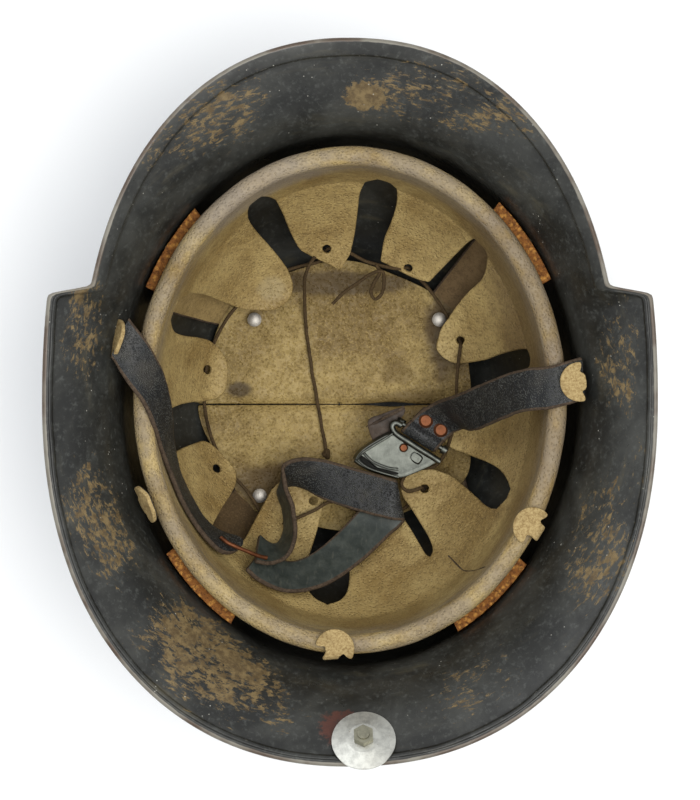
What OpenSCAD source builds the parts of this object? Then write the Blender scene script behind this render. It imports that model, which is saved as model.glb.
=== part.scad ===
// Steel fire helmet with a leather liner, lying on its crown.
// +Z points up out of the head opening, +Y to the visor, +X to the wearer's left.
// The origin is under the middle of the rim, at the height of the lowest point of the crown.
// Names say left and right as seen by someone looking down into the helmet, with the visor ahead.

/* [Shell] */
// Width over the side brims
shell_w = 258; // [250:1:266]
// Length from the visor's edge to the neck guard's edge
shell_l = 305; // [298:1:312]
// Width of the visor where it meets the side brims
visor_w = 226; // [218:1:232]
// Height of the visor's edge above the crown
visor_z = 143; // [138:1:150]
// Height of the side brims' edge above the crown
side_z = 150; // [144:1:156]
// Height of the neck guard's edge above the crown
neck_z = 157; // [150:1:164]
// Thickness of the steel
wall = 1.2; // [1:0.1:1.4]
// Width of the hem that is folded over along the edge
hem_w = 7; // [5:0.5:9]

/* [Liner] */
// Width over the leather roll at the head opening
liner_w = 186; // [182:1:188]
// Length over the leather roll at the head opening
liner_l = 218; // [214:1:220]
// Height of the top of the leather roll above the crown
liner_z = 122; // [119:1:125]
// Thickness of the sweatband leather
leather = 2; // [1.6:0.1:2.2]
// Diameter of the lace holes in the fingers
lace_hole_d = 4; // [3:0.5:5]
// Diameter of the lace
lace_d = 1.6; // [1.2:0.1:2]
// Diameter of the crown pad
pad_d = 124; // [120:1:126]
// Diameter of the heads of the neck curtain buttons
button_w = 17; // [14:1:20]

/* [Chin strap] */
// Width of the strap
strap_w = 18.5; // [17:0.5:20]
// Thickness of the strap
strap_t = 2.2; // [1.8:0.1:2.4]

/* [Fasteners] */
// Diameter of the washer inside the neck guard
washer_d = 26.7; // [22:0.1:30]
// Diameter of the bolt through the neck guard
bolt_d = 5; // [4:0.5:6]
// Diameter of the rivets that hold the liner to the shell
liner_rivet_d = 4; // [3:0.5:5]

/* [Hidden] */
$fn = 48;

gap = 0.3;
slack = 0.1;

// ---- shell outline and profile ----
rim_a = shell_w / 2;
rim_b = shell_l / 2;
side_front_b = 1.3 * rim_b;
rim_power = 2.2;
step_angle = 19.5;
step_span = 5;
liner_a = liner_w / 2;
liner_b = liner_l / 2;
cork_t = 4.6;
brow_a = liner_a + gap + cork_t + wall + 0.4;
brow_b = liner_b + gap + cork_t + wall + 0.4;
brow_z = 108;
crown_power = 2.3;
crown_flat = 1;
bowl_share = 0.62;
half_turn = concat([for (t = [-85 : 5 : 15]) t], [19.5, 22, 24.5], [for (t = [30 : 5 : 85]) t]);
shell_angles = concat([-90], half_turn, [90], [for (i = [len(half_turn) - 1 : -1 : 0]) 180 - half_turn[i]]);
bowl_rows = [0.12, 0.2, 0.28, 0.36, 0.44, 0.52];
brim_rows = [0.6, 0.66, 0.72, 0.78, 0.84, 0.89, 0.93];
// Share of the way from crown to edge where the hem starts
hem_from = 1 - hem_w / 156;
shell_rows = concat(bowl_rows, brim_rows, [hem_from, 1]);

// ---- liner ----
roll_r = 4.3;
band_t = 1.2;
band_inset = 3;
band_low = 84;
band_high = 116;
finger_wall = [for (i = [0 : 9]) 29 + 36 * i];
finger_tip = [22, 60, 94, 123, 170, 212, 245, 288, 312, 338];
finger_half = [13, 13, 12, 13, 14, 14, 14, 12, 10, 12];
wall_half = 13;
finger_cols = [-1, -0.6, -0.2, 0.2, 0.6, 1];
gather = [-6, 3];
gather_r = 61;
finger_pull = [61, 66, 66, 57, 60, 64, 67, 60, 58, 56];
// Rows of the leather's middle: distance in from the liner's edge, height
band_rows = [
    [1, 98], [1, 108], [1, liner_z - roll_r],
    for (t = [30 : 40 : 150]) [roll_r - (roll_r - 1) * cos(t), liner_z - roll_r + (roll_r - 1) * sin(t)],
    [2 * roll_r - 1, liner_z - roll_r], [8.2, 108], [8.8, 96], [9.8, 84], [11.5, 75]
];
// Rows of the fingers: share of the way from the wall to the gathering ring, height
finger_rows = [[0.22, 63], [0.45, 53], [0.72, 43], [1, 36], [1.25, 33.2]];
cork_angles = [140, 42, 231, 306];
cork_half = 11;
cork_low = 95;
cork_high = 113;
rivet_z = 100;

// ---- crown pad ----
pad_centre = [-5, 2];
pad_t = 2.6;
pad_mid_z = 18;
pad_rise = 11;
pad_seam_y = -2;
pad_seam_gap = 0.4;
crown_rivet_at = [[-44, 37], [41, 37], [-41.5, -44], [41, -36]];
crown_rivet_d = 6.5;

// ---- chin strap ----
pin_r = 1.2;
pin_at = [33, -16.5, 41];
pin_angle = -31.9;
strap_heading = 225.6;
fold_r = pin_r + gap + strap_t / 2;
layer = strap_t / 2 + 0.1;
// Each row: x, y, z of the strap's middle, azimuth and elevation of its width
right_route = [
    [82.5, 5, 121.6, 92, 0], [77, 4.5, 117, 92, 0], [71, 3, 109, 95, 0], [65, 0.5, 99, 100, 0],
    [59, -2.2, 87, 107, 0], [53.5, -4.8, 74, 116, 0], [49, -6.3, 61, 126, 0], [45.5, -6.8, 50, 138, 0]
];
left_route = [
    [-80, 9, 108, 180, 86], [-80.5, -5.6, 104.5, 184, 86], [-79.1, -19.7, 100, 194, 86],
    [-75.7, -33.7, 95, 204, 84], [-70.6, -45.9, 89.5, 213, 80], [-64.3, -55.9, 84.5, 221, 78],
    [-56.6, -62.4, 79.5, 228, 66], [-48.5, -65.5, 75, 236, 50]
];
loop_route = [
    [-41.5, -66, 70.5, 262, 50], [-35.5, -68.5, 66, 290, 60], [-30, -67, 60, 320, 68],
    [-27, -60, 53.5, 350, 72], [-28, -49, 48, 10, 74], [-31, -40, 45.5, 50, 72],
    [-29, -34.5, 43.5, 105, 58], [-22, -33.5, 42.5, 100, 38], [-12, -36, 43, 85, 14],
    [0, -39.8, 44, 78, 4], [11, -43, 45.5, 75, 0], [19, -45, 46.5, 86, 0],
    [22.3, -46.1, 44.7, 102, 0], [19, -49, 43, 116, -6], [13, -54, 43, 132, -12],
    [5, -61.8, 47, 134, -18], [-5, -70.5, 54.5, 128, -28], [-16, -77, 61.5, 113, -38],
    [-27, -79, 67, 86, -45], [-37, -75.5, 71, 62, -50], [-42.5, -70.5, 73.5, 50, -52]
];
end_right_route = [
    [99.5, 9.2, 121.6, 94, 0], [96.5, 8.4, 123.2, 94, 0], [92, 7, 123.9, 93, 0], [85.5, 5.4, 123.3, 92, 0]
];
end_left_route = [
    [-93.2, 33.5, 128, 160, 28], [-91.5, 27, 128, 165, 30], [-87.5, 18.3, 127.4, 170, 38],
    [-78.8, 13.2, 119.2, 176, 62], [-79.6, 10.2, 110, 180, 82]
];
// Tongues that carry the two buttons of the strap ends: up behind the leather and through the slit
tongue_right_route = [
    [94.1, 7.2, 106, 90, 0], [94.1, 7.2, 116, 90, 0], [93.8, 7.2, 120, 90, 0],
    [92.9, 7.1, 123, 90, 0], [92.6, 7.1, 126.6, 90, 0]
];
tongue_left_route = [
    [-91.3, 28.2, 106, 70, 0], [-91.4, 28.2, 116, 70, 0], [-93.4, 28, 121, 72, 0],
    [-93.6, 27.8, 125, 75, 0], [-91.6, 27.2, 129, 75, 0], [-89.2, 26.9, 133.1, 75, 0]
];
right_head_at = [92.6, 7.1, 125.8];
left_head_at = [-89.2, 26.9, 132.3];
left_tilt = 30;

// ---- lace ----
lace_r = lace_d / 2;
drawstring_route = [
    [-10.6, 68.8, 36.5], [-8, 69, 38.8], [-1, 67.5, 39.3], [8, 63, 39.3], [20, 60, 39.3], [24.5, 60.3, 38.8],
    [27, 60.2, 36.5], [29.5, 58, 32.6], [37, 50, 31.2], [44, 39.5, 31.2], [49.5, 28.5, 32.6],
    [50.6, 25.9, 36.5], [50.2, 22.8, 38.8], [48.8, 10, 38.2], [48.4, -3, 37.2], [47, -13, 36.6],
    [44, -23, 36.8], [39, -30, 36.8], [31.5, -31.5, 37], [25.5, -34.5, 36.8],
    [23.5, -38.5, 36.8], [26, -41.5, 37.2],
    [30, -41, 38.6], [32.8, -40.1, 36.5], [32, -43, 32.6], [25, -49.5, 31.2], [15.5, -54, 32.6],
    [12.5, -54.1, 36.5], [9.5, -53.5, 38.6], [1, -49.5, 37.2], [-8.5, -46.5, 36.6], [-16.5, -50.5, 37.8],
    [-24, -53.8, 39], [-31.5, -57, 39.3], [-34.3, -57.7, 36.5], [-37.5, -57, 32.6],
    for (t = [228 : -13 : 98]) [gather[0] + gather_r * cos(t), gather[1] + gather_r * sin(t), 31.2],
    [-12.5, 66.5, 32.6]
];
bow_route = [
    [12, 61.5, 41.2], [13.5, 58, 41.6], [11, 53.5, 40], [9.5, 49.5, 37.5], [11.5, 46, 36.5], [14.5, 49, 38],
    [15.4, 54, 40.3], [14.5, 58.5, 42.8], [9, 57, 42], [3, 53, 39], [-3, 49, 36], [-8, 44, 33.5]
];
tail_route = [
    [-16, 65.5, 39.3], [-19, 61, 39], [-20.6, 56, 37.4], [-20.9, 51, 32],
    [-20.9, 44, 26.4], [-20.6, 37, 23.4],
    [-19.6, 28, 21.7], [-18.4, 19, 20.6], [-17, 10, 19.9], [-15.4, 1, 19.6], [-13.8, -8, 19.8],
    [-12.2, -17, 20.5], [-10.8, -25, 21.9]
];
knot_r = 1.6;

// ---- shell functions ----
function blend(a, b, t) = a + (b - a) * t;
function eased(x) = let (c = min(1, max(0, x))) c * c * (3 - 2 * c);
function unit(v) = v / norm(v);
function oval_r(a, b, p, t) = 1 / pow(pow(abs(cos(t)) / a, p) + pow(abs(sin(t)) / b, p), 1 / p);
function at_angle(r, t) = [r * cos(t), r * sin(t)];
function rim_r(t) =
    let (forward = asin(sin(t)),
         side = oval_r(rim_a, forward > 0 ? side_front_b : rim_b, rim_power, t),
         visor = oval_r(visor_w / 2, rim_b, rim_power, t))
    blend(side, visor, eased((forward - step_angle) / step_span));
function rim_z(t) =
    let (s = sin(t)) side_z + (s > 0 ? visor_z - side_z : neck_z - side_z) * s * s;
function bowl_point(q, t) =
    let (k = 2 / crown_power, r = oval_r(brow_a, brow_b, 2, t))
    [r * pow(sin(90 * q), k), max(0, brow_z * (1 - pow(cos(90 * q), k)) - crown_flat)];
function brim_point(q, t) =
    let (r0 = oval_r(brow_a, brow_b, 2, t), r1 = rim_r(t), z0 = brow_z - crown_flat, z1 = rim_z(t), p = 1 - q)
    [p * p * p * r0 + 3 * p * p * q * r0 + 3 * p * q * q * blend(r0, r1, 0.42) + q * q * q * r1,
     p * p * p * z0 + 3 * p * p * q * (z0 + 14) + 3 * p * q * q * (z1 - 9) + q * q * q * z1];
function meridian(u, t) =
    u < bowl_share ? bowl_point(max(0, u) / bowl_share, t) : brim_point((u - bowl_share) / (1 - bowl_share), t);
function inward(u, t) =
    let (d = unit(meridian(u + 0.01, t) - meridian(u - 0.01, t))) [-d[1], d[0]];
function skin(u, t, depth) =
    let (m = meridian(u, t) + depth * inward(u, t)) [m[0] * cos(t), m[0] * sin(t), m[1]];
function hem_depth(u) = u >= hem_from ? 2 * wall : wall;

// Quads of a grid whose columns close in a loop, split into triangles
function ring_faces(rows, cols) = [
    for (i = [0 : rows - 2], j = [0 : cols - 1], side = [0, 1])
        let (a = i * cols + j, b = i * cols + (j + 1) % cols)
        side == 0 ? [a, b, b + cols] : [a, b + cols, a + cols]
];
function fan(centre, first, cols, flip) = [
    for (j = [0 : cols - 1])
        let (a = first + j, b = first + (j + 1) % cols) flip ? [centre, b, a] : [centre, a, b]
];

module shell_skin() {
    cols = len(shell_angles);
    n = len(shell_rows);
    points = concat(
        [for (i = [0 : n - 1], t = shell_angles) skin(shell_rows[i], t, 0)],
        [for (i = [n - 1 : -1 : 0], t = shell_angles) skin(shell_rows[i], t, hem_depth(shell_rows[i]))],
        [[0, 0, 0], [0, 0, wall]]);
    polyhedron(points, concat(
        ring_faces(2 * n, cols),
        fan(2 * n * cols, 0, cols, true),
        fan(2 * n * cols + 1, (2 * n - 1) * cols, cols, false)), convexity = 6);
}

// Places a part on the shell with +Z along the inward normal
module on_shell(u, t) {
    n = inward(u, t);
    rotate([0, 0, t])
        translate([meridian(u, t)[0], 0, meridian(u, t)[1]])
            rotate([0, atan2(n[0], n[1]), 0])
                children();
}

// Places a part on the liner band's middle with +Z pointing out through cork and shell
module on_band(t) {
    edge = at_angle(oval_r(liner_a, liner_b, 2, t), t);
    normal = unit([edge[0] / pow(liner_a, 2), edge[1] / pow(liner_b, 2)]);
    translate([edge[0], edge[1], rivet_z])
        rotate([0, 0, atan2(normal[1], normal[0])])
            rotate([0, 90, 0])
                children();
}

bolt_u = 0.945;
bolt_angle = -87.7;

module shell() {
    color("#2b2d2e")
        difference() {
            shell_skin();
            on_shell(bolt_u, bolt_angle)
                cylinder(d = bolt_d + 2 * slack, h = 12, center = true);
            for (t = cork_angles)
                on_band(t)
                    translate([0, 0, gap])
                        cylinder(d = liner_rivet_d + 2 * slack, h = 12);
        }
}

module neck_washer() {
    dome = 2.2;
    color("#c8c8c3")
        on_shell(bolt_u, bolt_angle)
            translate([0, 0, wall + 1.6])
                rotate_extrude()
                    polygon([
                        [bolt_d / 2 + slack, dome], [washer_d / 4, 0.8 * dome], [washer_d / 2, 0],
                        [washer_d / 2, 0.9], [washer_d / 4, 0.8 * dome + 1], [bolt_d / 2 + slack, dome + 1]
                    ]);
}

module neck_nut() {
    color("#8d8b78")
        on_shell(bolt_u, bolt_angle)
            translate([0, 0, wall + 5])
                difference() {
                    cylinder(d = 9, h = 3, $fn = 6);
                    translate([0, 0, -1])
                        cylinder(d = bolt_d + slack, h = 5);
                }
}

module neck_bolt() {
    color("#8d8b78")
        on_shell(bolt_u, bolt_angle) {
            translate([0, 0, -2.7])
                intersection() {
                    cylinder(d = 9, h = 1.9);
                    translate([0, 0, 4.6])
                        sphere(r = 5.6);
                }
            translate([0, 0, -1])
                cylinder(d = bolt_d, h = wall + 9.6);
        }
}

// ---- liner modules ----
module oval_outline(inset, from = 0, to = 355) {
    polygon([for (t = [from : 5 : to]) at_angle(oval_r(liner_a - inset, liner_b - inset, 2, t), t)]);
}

module rivet_bores(extra) {
    for (t = cork_angles)
        on_band(t)
            translate([0, 0, -6])
                cylinder(d = liner_rivet_d + 2 * extra, h = 16);
}

module liner_band() {
    color("#8a7a58")
        difference() {
            translate([0, 0, band_low])
                linear_extrude(band_high - band_low)
                    difference() {
                        oval_outline(band_inset);
                        oval_outline(band_inset + band_t);
                    }
            rivet_bores(slack);
        }
}

// A point of the leather at a row and a column, pushed to one side by depth
function leather_mid(row, i, c) =
    row < len(band_rows)
        ? let (t = finger_wall[i] + wall_half * c, r = oval_r(liner_a, liner_b, 2, t) - band_rows[row][0])
          [r * cos(t), r * sin(t), band_rows[row][1]]
        : let (f = finger_rows[row - len(band_rows)],
               t = finger_wall[i] + wall_half * c,
               start = at_angle(oval_r(liner_a, liner_b, 2, t) - band_rows[len(band_rows) - 1][0], t),
               pull = f[0] > 1 ? 1 - 0.25 * pow(abs(c), 2) : 1,
               g = finger_tip[i] + finger_half[i] * c * (f[0] > 1 ? 0.75 : 1),
               end = gather + at_angle(finger_pull[i], g),
               p = blend(start, end, f[0] * pull + (1 - pull)))
          [p[0], p[1], f[1]];
function leather_point(row, i, c, depth) =
    let (last = len(band_rows) + len(finger_rows) - 1,
         a = leather_mid(max(0, row - 1), i, c), b = leather_mid(min(last, row + 1), i, c),
         t = finger_wall[i] + wall_half * c, d = b - a,
         run = d[0] * cos(t) + d[1] * sin(t), along = unit([run, d[2]]))
    leather_mid(row, i, c) + depth * [-along[1] * cos(t), -along[1] * sin(t), along[0]];

module sweatband_leather() {
    cols = len(finger_cols) * len(finger_wall);
    n_band = len(band_rows);
    n = n_band + len(finger_rows);
    w = len(finger_cols);
    front = 0;
    back = n * cols;
    points = [for (side = [-0.5, 0.5], row = [0 : n - 1], i = [0 : 9], c = finger_cols)
        leather_point(row, i, c, side * leather)];
    function quad(a, b, c, d) = [[a, b, c], [a, c, d]];
    ring = [for (r = [0 : n_band - 2], j = [0 : cols - 1])
        let (a = r * cols + j, b = r * cols + (j + 1) % cols)
        each concat(
            quad(a, b, b + cols, a + cols),
            quad(back + a, back + a + cols, back + b + cols, back + b))];
    fingers = [for (r = [n_band - 1 : n - 2], i = [0 : 9], k = [0 : w - 2])
        let (a = r * cols + i * w + k, b = a + 1)
        each concat(
            quad(a, b, b + cols, a + cols),
            quad(back + a, back + a + cols, back + b + cols, back + b))];
    sides = [for (r = [n_band - 1 : n - 2], i = [0 : 9])
        let (a = r * cols + i * w, b = a + w - 1)
        each concat(
            quad(a, a + cols, back + a + cols, back + a),
            quad(b, back + b, back + b + cols, b + cols))];
    tips = [for (i = [0 : 9], k = [0 : w - 2])
        let (a = (n - 1) * cols + i * w + k, b = a + 1) each quad(a, b, back + b, back + a)];
    slots = [for (i = [0 : 9])
        let (a = (n_band - 1) * cols + i * w + w - 1, b = (n_band - 1) * cols + ((i + 1) * w) % cols)
        each quad(a, b, back + b, back + a)];
    hem = [for (j = [0 : cols - 1])
        let (a = j, b = (j + 1) % cols) each quad(a, back + a, back + b, b)];
    polyhedron(points, concat(ring, fingers, sides, tips, slots, hem), convexity = 10);
}

module sweatband() {
    color("#a8935f")
        difference() {
            sweatband_leather();
            for (t = cork_angles)
                on_band(t)
                    translate([0, 0, -3.2])
                        cylinder(d = liner_rivet_d + 2 * slack, h = 6);
            for (i = [0 : 9])
                translate([gather[0] + finger_pull[i] * cos(finger_tip[i]),
                           gather[1] + finger_pull[i] * sin(finger_tip[i]), 30])
                    cylinder(d = lace_hole_d, h = 12);
        }
}

module cork(t) {
    inner = [for (s = [t - cork_half : 2 : t + cork_half])
        at_angle(oval_r(liner_a + gap, liner_b + gap, 2, s), s)];
    outer = [for (s = [t + cork_half : -2 : t - cork_half])
        at_angle(oval_r(liner_a + cork_t - 0.2, liner_b + cork_t - 0.2, 2, s), s)];
    color("#a9712f")
        difference() {
            translate([0, 0, cork_low])
                linear_extrude(cork_high - cork_low)
                    polygon(concat(inner, outer));
            on_band(t)
                cylinder(d = liner_rivet_d + 2 * slack, h = 10);
        }
}

module cork_front_left() { cork(cork_angles[0]); }
module cork_front_right() { cork(cork_angles[1]); }
module cork_rear_left() { cork(cork_angles[2]); }
module cork_rear_right() { cork(cork_angles[3]); }

module liner_rivets() {
    inside = -band_inset - band_t;
    outside = gap + cork_t + wall + 1.4;
    color("#4a4a48")
        for (t = cork_angles)
            on_band(t) {
                translate([0, 0, inside - 1.3])
                    cylinder(d = 8, h = 1);
                translate([0, 0, inside - 0.5])
                    cylinder(d = liner_rivet_d, h = outside - inside + 0.8);
                translate([0, 0, outside])
                    cylinder(d1 = 9, d2 = 6, h = 1.4);
            }
}

// ---- crown pad ----
module pad_dish(low, high) {
    steps = [0 : 0.125 : 1];
    r = pad_d / 2;
    translate([pad_centre[0], pad_centre[1], 0])
        rotate_extrude($fn = 64)
            polygon(concat(
                [for (q = steps) [q * r, pad_mid_z + pad_rise * q * q + low]],
                [for (q = [1 : -0.125 : 0]) [q * r, pad_mid_z + pad_rise * q * q + high]]));
}

module pad_half(front) {
    half = 80;
    seam_half = pad_seam_gap / 2;
    color("#a08c58")
        difference() {
            intersection() {
                pad_dish(-pad_t, 0);
                translate([-half, front ? pad_seam_y + seam_half : pad_seam_y - seam_half - half, 0])
                    cube([2 * half, half, 60]);
            }
            for (p = crown_rivet_at)
                translate([p[0], p[1], 0])
                    cylinder(d = 3 + 2 * slack, h = 60);
        }
}

module crown_pad_front() { pad_half(true); }
module crown_pad_rear() { pad_half(false); }

function pad_z(p) =
    pad_mid_z + pad_rise * pow(norm([p[0], p[1]] - pad_centre) / (pad_d / 2), 2);

module crown_rivets() {
    color("#9a9a94")
        for (p = crown_rivet_at) {
            translate([p[0], p[1], pad_z(p) + 1.1])
                intersection() {
                    cylinder(d = crown_rivet_d, h = 1.2);
                    translate([0, 0, -3.8])
                        sphere(r = 5);
                }
            translate([p[0], p[1], pad_z(p) - pad_t - 4.6])
                cylinder(d = 3, h = pad_t + 6);
            translate([p[0], p[1], pad_z(p) - pad_t - 5])
                cylinder(d = 5.5, h = 0.8);
        }
}

// ---- strips of leather ----
function width_dir(row) =
    [cos(row[4]) * cos(row[3]), cos(row[4]) * sin(row[3]), sin(row[4])];
function place(row) = [row[0], row[1], row[2]];
function strip_ring(route, i, w, t) =
    let (last = len(route) - 1,
         along = place(route[min(last, i + 1)]) - place(route[max(0, i - 1)]),
         side = width_dir(route[i]),
         face = unit(cross(along, side)))
    [for (k = [[-1, -1], [1, -1], [1, 1], [-1, 1]])
        place(route[i]) + side * k[0] * w / 2 + face * k[1] * t / 2];

module strip(route, w, t) {
    n = len(route);
    points = [for (i = [0 : n - 1]) each strip_ring(route, i, w, t)];
    ends = [[0, 1, 2], [0, 2, 3], [4 * n - 4, 4 * n - 2, 4 * n - 3], [4 * n - 4, 4 * n - 1, 4 * n - 2]];
    faces = [for (f = ring_faces(n, 4)) [f[2], f[1], f[0]]];
    polyhedron(points, concat(faces, ends), convexity = 10);
}

// From a crown rivet, under the pad's edge, up behind the fingers to the bottom of the band
module suspension(p, t) {
    under = pad_t + 2.2;
    back = p - at_angle(7, t);
    rim = p + at_angle(pad_d / 2 + 2 - norm(p - pad_centre), t);
    band = at_angle(oval_r(liner_a, liner_b, 2, t) - band_inset - band_t / 2, t);
    side = t + 90;
    route = [
        [back[0], back[1], pad_z(back) - under, side, 0],
        [p[0], p[1], pad_z(p) - under, side, 0],
        [rim[0], rim[1], pad_mid_z + pad_rise - under, side, 0],
        for (q = [[0.3, 34], [0.6, 48], [0.85, 68], [1, 83]])
            let (m = blend(rim, band, q[0])) [m[0], m[1], q[1], side, 0]
    ];
    color("#8a7144")
        difference() {
            strip(route, 22, 1.6);
            translate([p[0], p[1], 0])
                cylinder(d = 3 + 2 * slack, h = 60);
        }
}

module suspension_front_left() { suspension(crown_rivet_at[0], 148); }
module suspension_front_right() { suspension(crown_rivet_at[1], 46); }
module suspension_rear_left() { suspension(crown_rivet_at[2], 227); }
module suspension_rear_right() { suspension(crown_rivet_at[3], 303); }

// ---- lace ----
function ring_round(p, along, r, sides) =
    let (other = abs(along[2]) > 0.9 * norm(along) ? [1, 0, 0] : [0, 0, 1])
    let (a = unit(cross(along, other)), b = unit(cross(along, a)))
    [for (k = [0 : sides - 1]) p + r * (a * cos(360 * k / sides) + b * sin(360 * k / sides))];

module tube(route, r, closed = false, sides = 8) {
    n = len(route);
    far = (n - 1) * sides;
    points = [for (i = [0 : n - 1]) each ring_round(
        route[i],
        closed ? route[(i + 1) % n] - route[(i + n - 1) % n] : route[min(n - 1, i + 1)] - route[max(0, i - 1)],
        r, sides)];
    walls = [for (f = ring_faces(n, sides)) [f[2], f[1], f[0]]];
    closing = [for (j = [0 : sides - 1])
        let (a = far + j, b = far + (j + 1) % sides)
        each [[(j + 1) % sides, b, a], [j, (j + 1) % sides, a]]];
    ends = [for (k = [1 : sides - 2]) each [[0, k, k + 1], [far, far + k + 1, far + k]]];
    polyhedron(points, concat(walls, closed ? closing : ends), convexity = 10);
}

module drawstring() {
    color("#4c3a22")
        tube(drawstring_route, lace_r, closed = true);
}

module drawstring_bow() {
    color("#4c3a22")
        tube(bow_route, lace_r);
}

module drawstring_tail() {
    last = tail_route[len(tail_route) - 1];
    color("#4c3a22") {
        tube(tail_route, lace_r);
        translate(last)
            sphere(r = knot_r, $fn = 24);
    }
}

// ---- leather buttons for the neck curtain ----
button_t = 2;
neck_w = 8;
button_hinge = [-5.6, -1.6];

module button_outline(w) {
    translate([-2.5, 0])
        intersection() {
            circle(d = w);
            translate([0, -w / 2])
                square([w, w]);
        }
    translate([-5, -neck_w / 2])
        square([5, neck_w]);
}

// A button whose neck rises outside the roll: the head lies inwards over the roll and folds up about
// the root of the neck, or stands raised by an angle
module folding_button(t, raised = 0) {
    r = oval_r(liner_a, liner_b, 2, t) - roll_r;
    hinge = [button_hinge[0], 0, button_hinge[1]];
    color("#9c875c")
        rotate([0, 0, t])
            translate([r, 0, liner_z])
                rotate([0, 0, 180])
                    translate(hinge)
                        rotate([0, -raised, 0])
                            translate(-hinge)
                                lying_button();
}

module lying_button() {
    translate([0.6, 0, 0.5])
        linear_extrude(button_t)
            button_outline(button_w);
    rotate([90, 0, 0])
        linear_extrude(neck_w, center = true)
            polygon([[-6.6, -1.6], [-5.8, 2.5], [-3, 2.5], [-3, 0.5], [-4.4, 0.3], [-4.7, -1.6]]);
    translate([button_hinge[0], neck_w / 2, button_hinge[1]])
        rotate([90, 0, 0])
            cylinder(r = 1, h = neck_w);
}

module button_rear() { folding_button(266); }
module button_rear_left() { folding_button(207, 68); }
module button_rear_right() { folding_button(325); }

// Places a part at a button's head, leaning by a tilt, with +X pointing along turn
module at_head(at, turn, tilt) {
    translate(at)
        rotate([0, 0, turn])
            rotate([0, tilt, 0])
                children();
}

// A button whose tongue stands through the slit of a strap end
module strap_button(route, at, turn, tilt) {
    color("#9c875c") {
        strip(route, 6, 2);
        at_head(at, turn, tilt)
            translate([-3, 0, 0])
                linear_extrude(button_t)
                    button_outline(button_w);
    }
}

module button_right() { strap_button(tongue_right_route, right_head_at, 187, 0); }
module button_left() { strap_button(tongue_left_route, left_head_at, -15, left_tilt); }

module strap_slit(at, turn, tilt) {
    at_head(at, turn, tilt)
        translate([-1.9, -3.8, -10])
            cube([3.8, 7.6, 16]);
}

module strap_end_right() {
    color("#26282a")
        difference() {
            strip(end_right_route, strap_w, strap_t);
            strap_slit(right_head_at, 187, 0);
        }
}

module strap_end_left() {
    color("#26282a")
        difference() {
            strip(end_left_route, strap_w, strap_t);
            strap_slit(left_head_at, -15, left_tilt);
        }
}

// ---- chin strap ----
function from_pin(back, up) =
    [pin_at[0] - back * cos(strap_heading), pin_at[1] - back * sin(strap_heading), pin_at[2] + up];
fold_side = 180 + pin_angle;
function fold_row(back, up) = concat(from_pin(back, up), [fold_side, 0]);
fold_route = concat(
    right_route,
    [fold_row(16.5, 4), fold_row(12.5, layer), fold_row(3, layer), fold_row(1.3, fold_r - 0.2)],
    [for (t = [90 : -36 : -90]) fold_row(-fold_r * cos(t), fold_r * sin(t))],
    [fold_row(1.3, 0.2 - fold_r), fold_row(3, -layer), fold_row(12.5, -layer)]);
rivet_back = 7;
rivet_spread = 4;

module at_strap_rivets() {
    for (s = [-rivet_spread, rivet_spread])
        translate(from_pin(rivet_back, 0) + s * [cos(pin_angle), sin(pin_angle), 0])
            children();
}

module chin_strap_right() {
    color("#26282a")
        difference() {
            strip(fold_route, strap_w, strap_t);
            at_strap_rivets()
                cylinder(d = 3 + 2 * slack, h = 12, center = true);
        }
}

module strap_rivets() {
    half = layer + strap_t / 2;
    color("#a5643f")
        at_strap_rivets() {
            cylinder(d = 3, h = 2 * half + 1, center = true);
            translate([0, 0, half + 0.1])
                cylinder(d1 = 6.7, d2 = 4.6, h = 1.1);
            translate([0, 0, -half - 0.9])
                cylinder(d = 6, h = 0.8);
        }
}

// Places a part on the clasp: +X along the pin, +Y away from the strap, origin on the pin's middle
module on_clasp() {
    translate(pin_at)
        rotate([0, 0, pin_angle])
            mirror([0, 1, 0])
                children();
}

pin_half = 12.3;
plate_t = 1.2;
plate_low = -0.6;
clasp_rivet_at = [-4.5, 9];
plate_outline = [[-12, 4.4], [12, 4.4], [1, 22.3], [-20.5, 26.5], [-20, 19], [-14.5, 8]];

module clasp_pin() {
    color("#8b8f8a")
        on_clasp()
            rotate([0, 90, 0])
                cylinder(r = pin_r, h = 2 * pin_half, center = true);
}

module clasp_plate() {
    knuckle = 2.4;
    color("#7a7f7a")
        on_clasp()
            difference() {
                union() {
                    translate([0, 0, plate_low])
                        linear_extrude(plate_t)
                            polygon(plate_outline);
                    for (x = [-pin_half + 0.1, pin_half - 0.1 - knuckle])
                        translate([x, 0, 0]) {
                            rotate([0, 90, 0])
                                cylinder(r = 2.3, h = knuckle);
                            translate([0, 0, plate_low])
                                cube([knuckle, 5.5, plate_t]);
                        }
                    translate([-pin_half + 0.1, 5.6, 0.9])
                        rotate([0, 90, 0])
                            cylinder(r = 1.5, h = 2 * pin_half - 0.2);
                    side_flange([-14.5, 9], [-20.5, 24], 3.6);
                    side_flange([-20, 25.6], [-3, 22.6], 3.2);
                }
                rotate([0, 90, 0])
                    cylinder(r = pin_r + slack, h = 3 * pin_half, center = true);
                translate([clasp_rivet_at[0], clasp_rivet_at[1], -2])
                    cylinder(d = 2 + 2 * slack, h = 4);
                translate([0.5, 9.5, -2])
                    cube([4.5, 2.6, 4]);
            }
}

module side_flange(from, to, height) {
    along = to - from;
    translate([from[0], from[1], plate_low])
        rotate([0, 0, atan2(along[1], along[0])])
            translate([0, -0.6, 0])
                cube([norm(along), 1.2, plate_t + height]);
}

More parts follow.
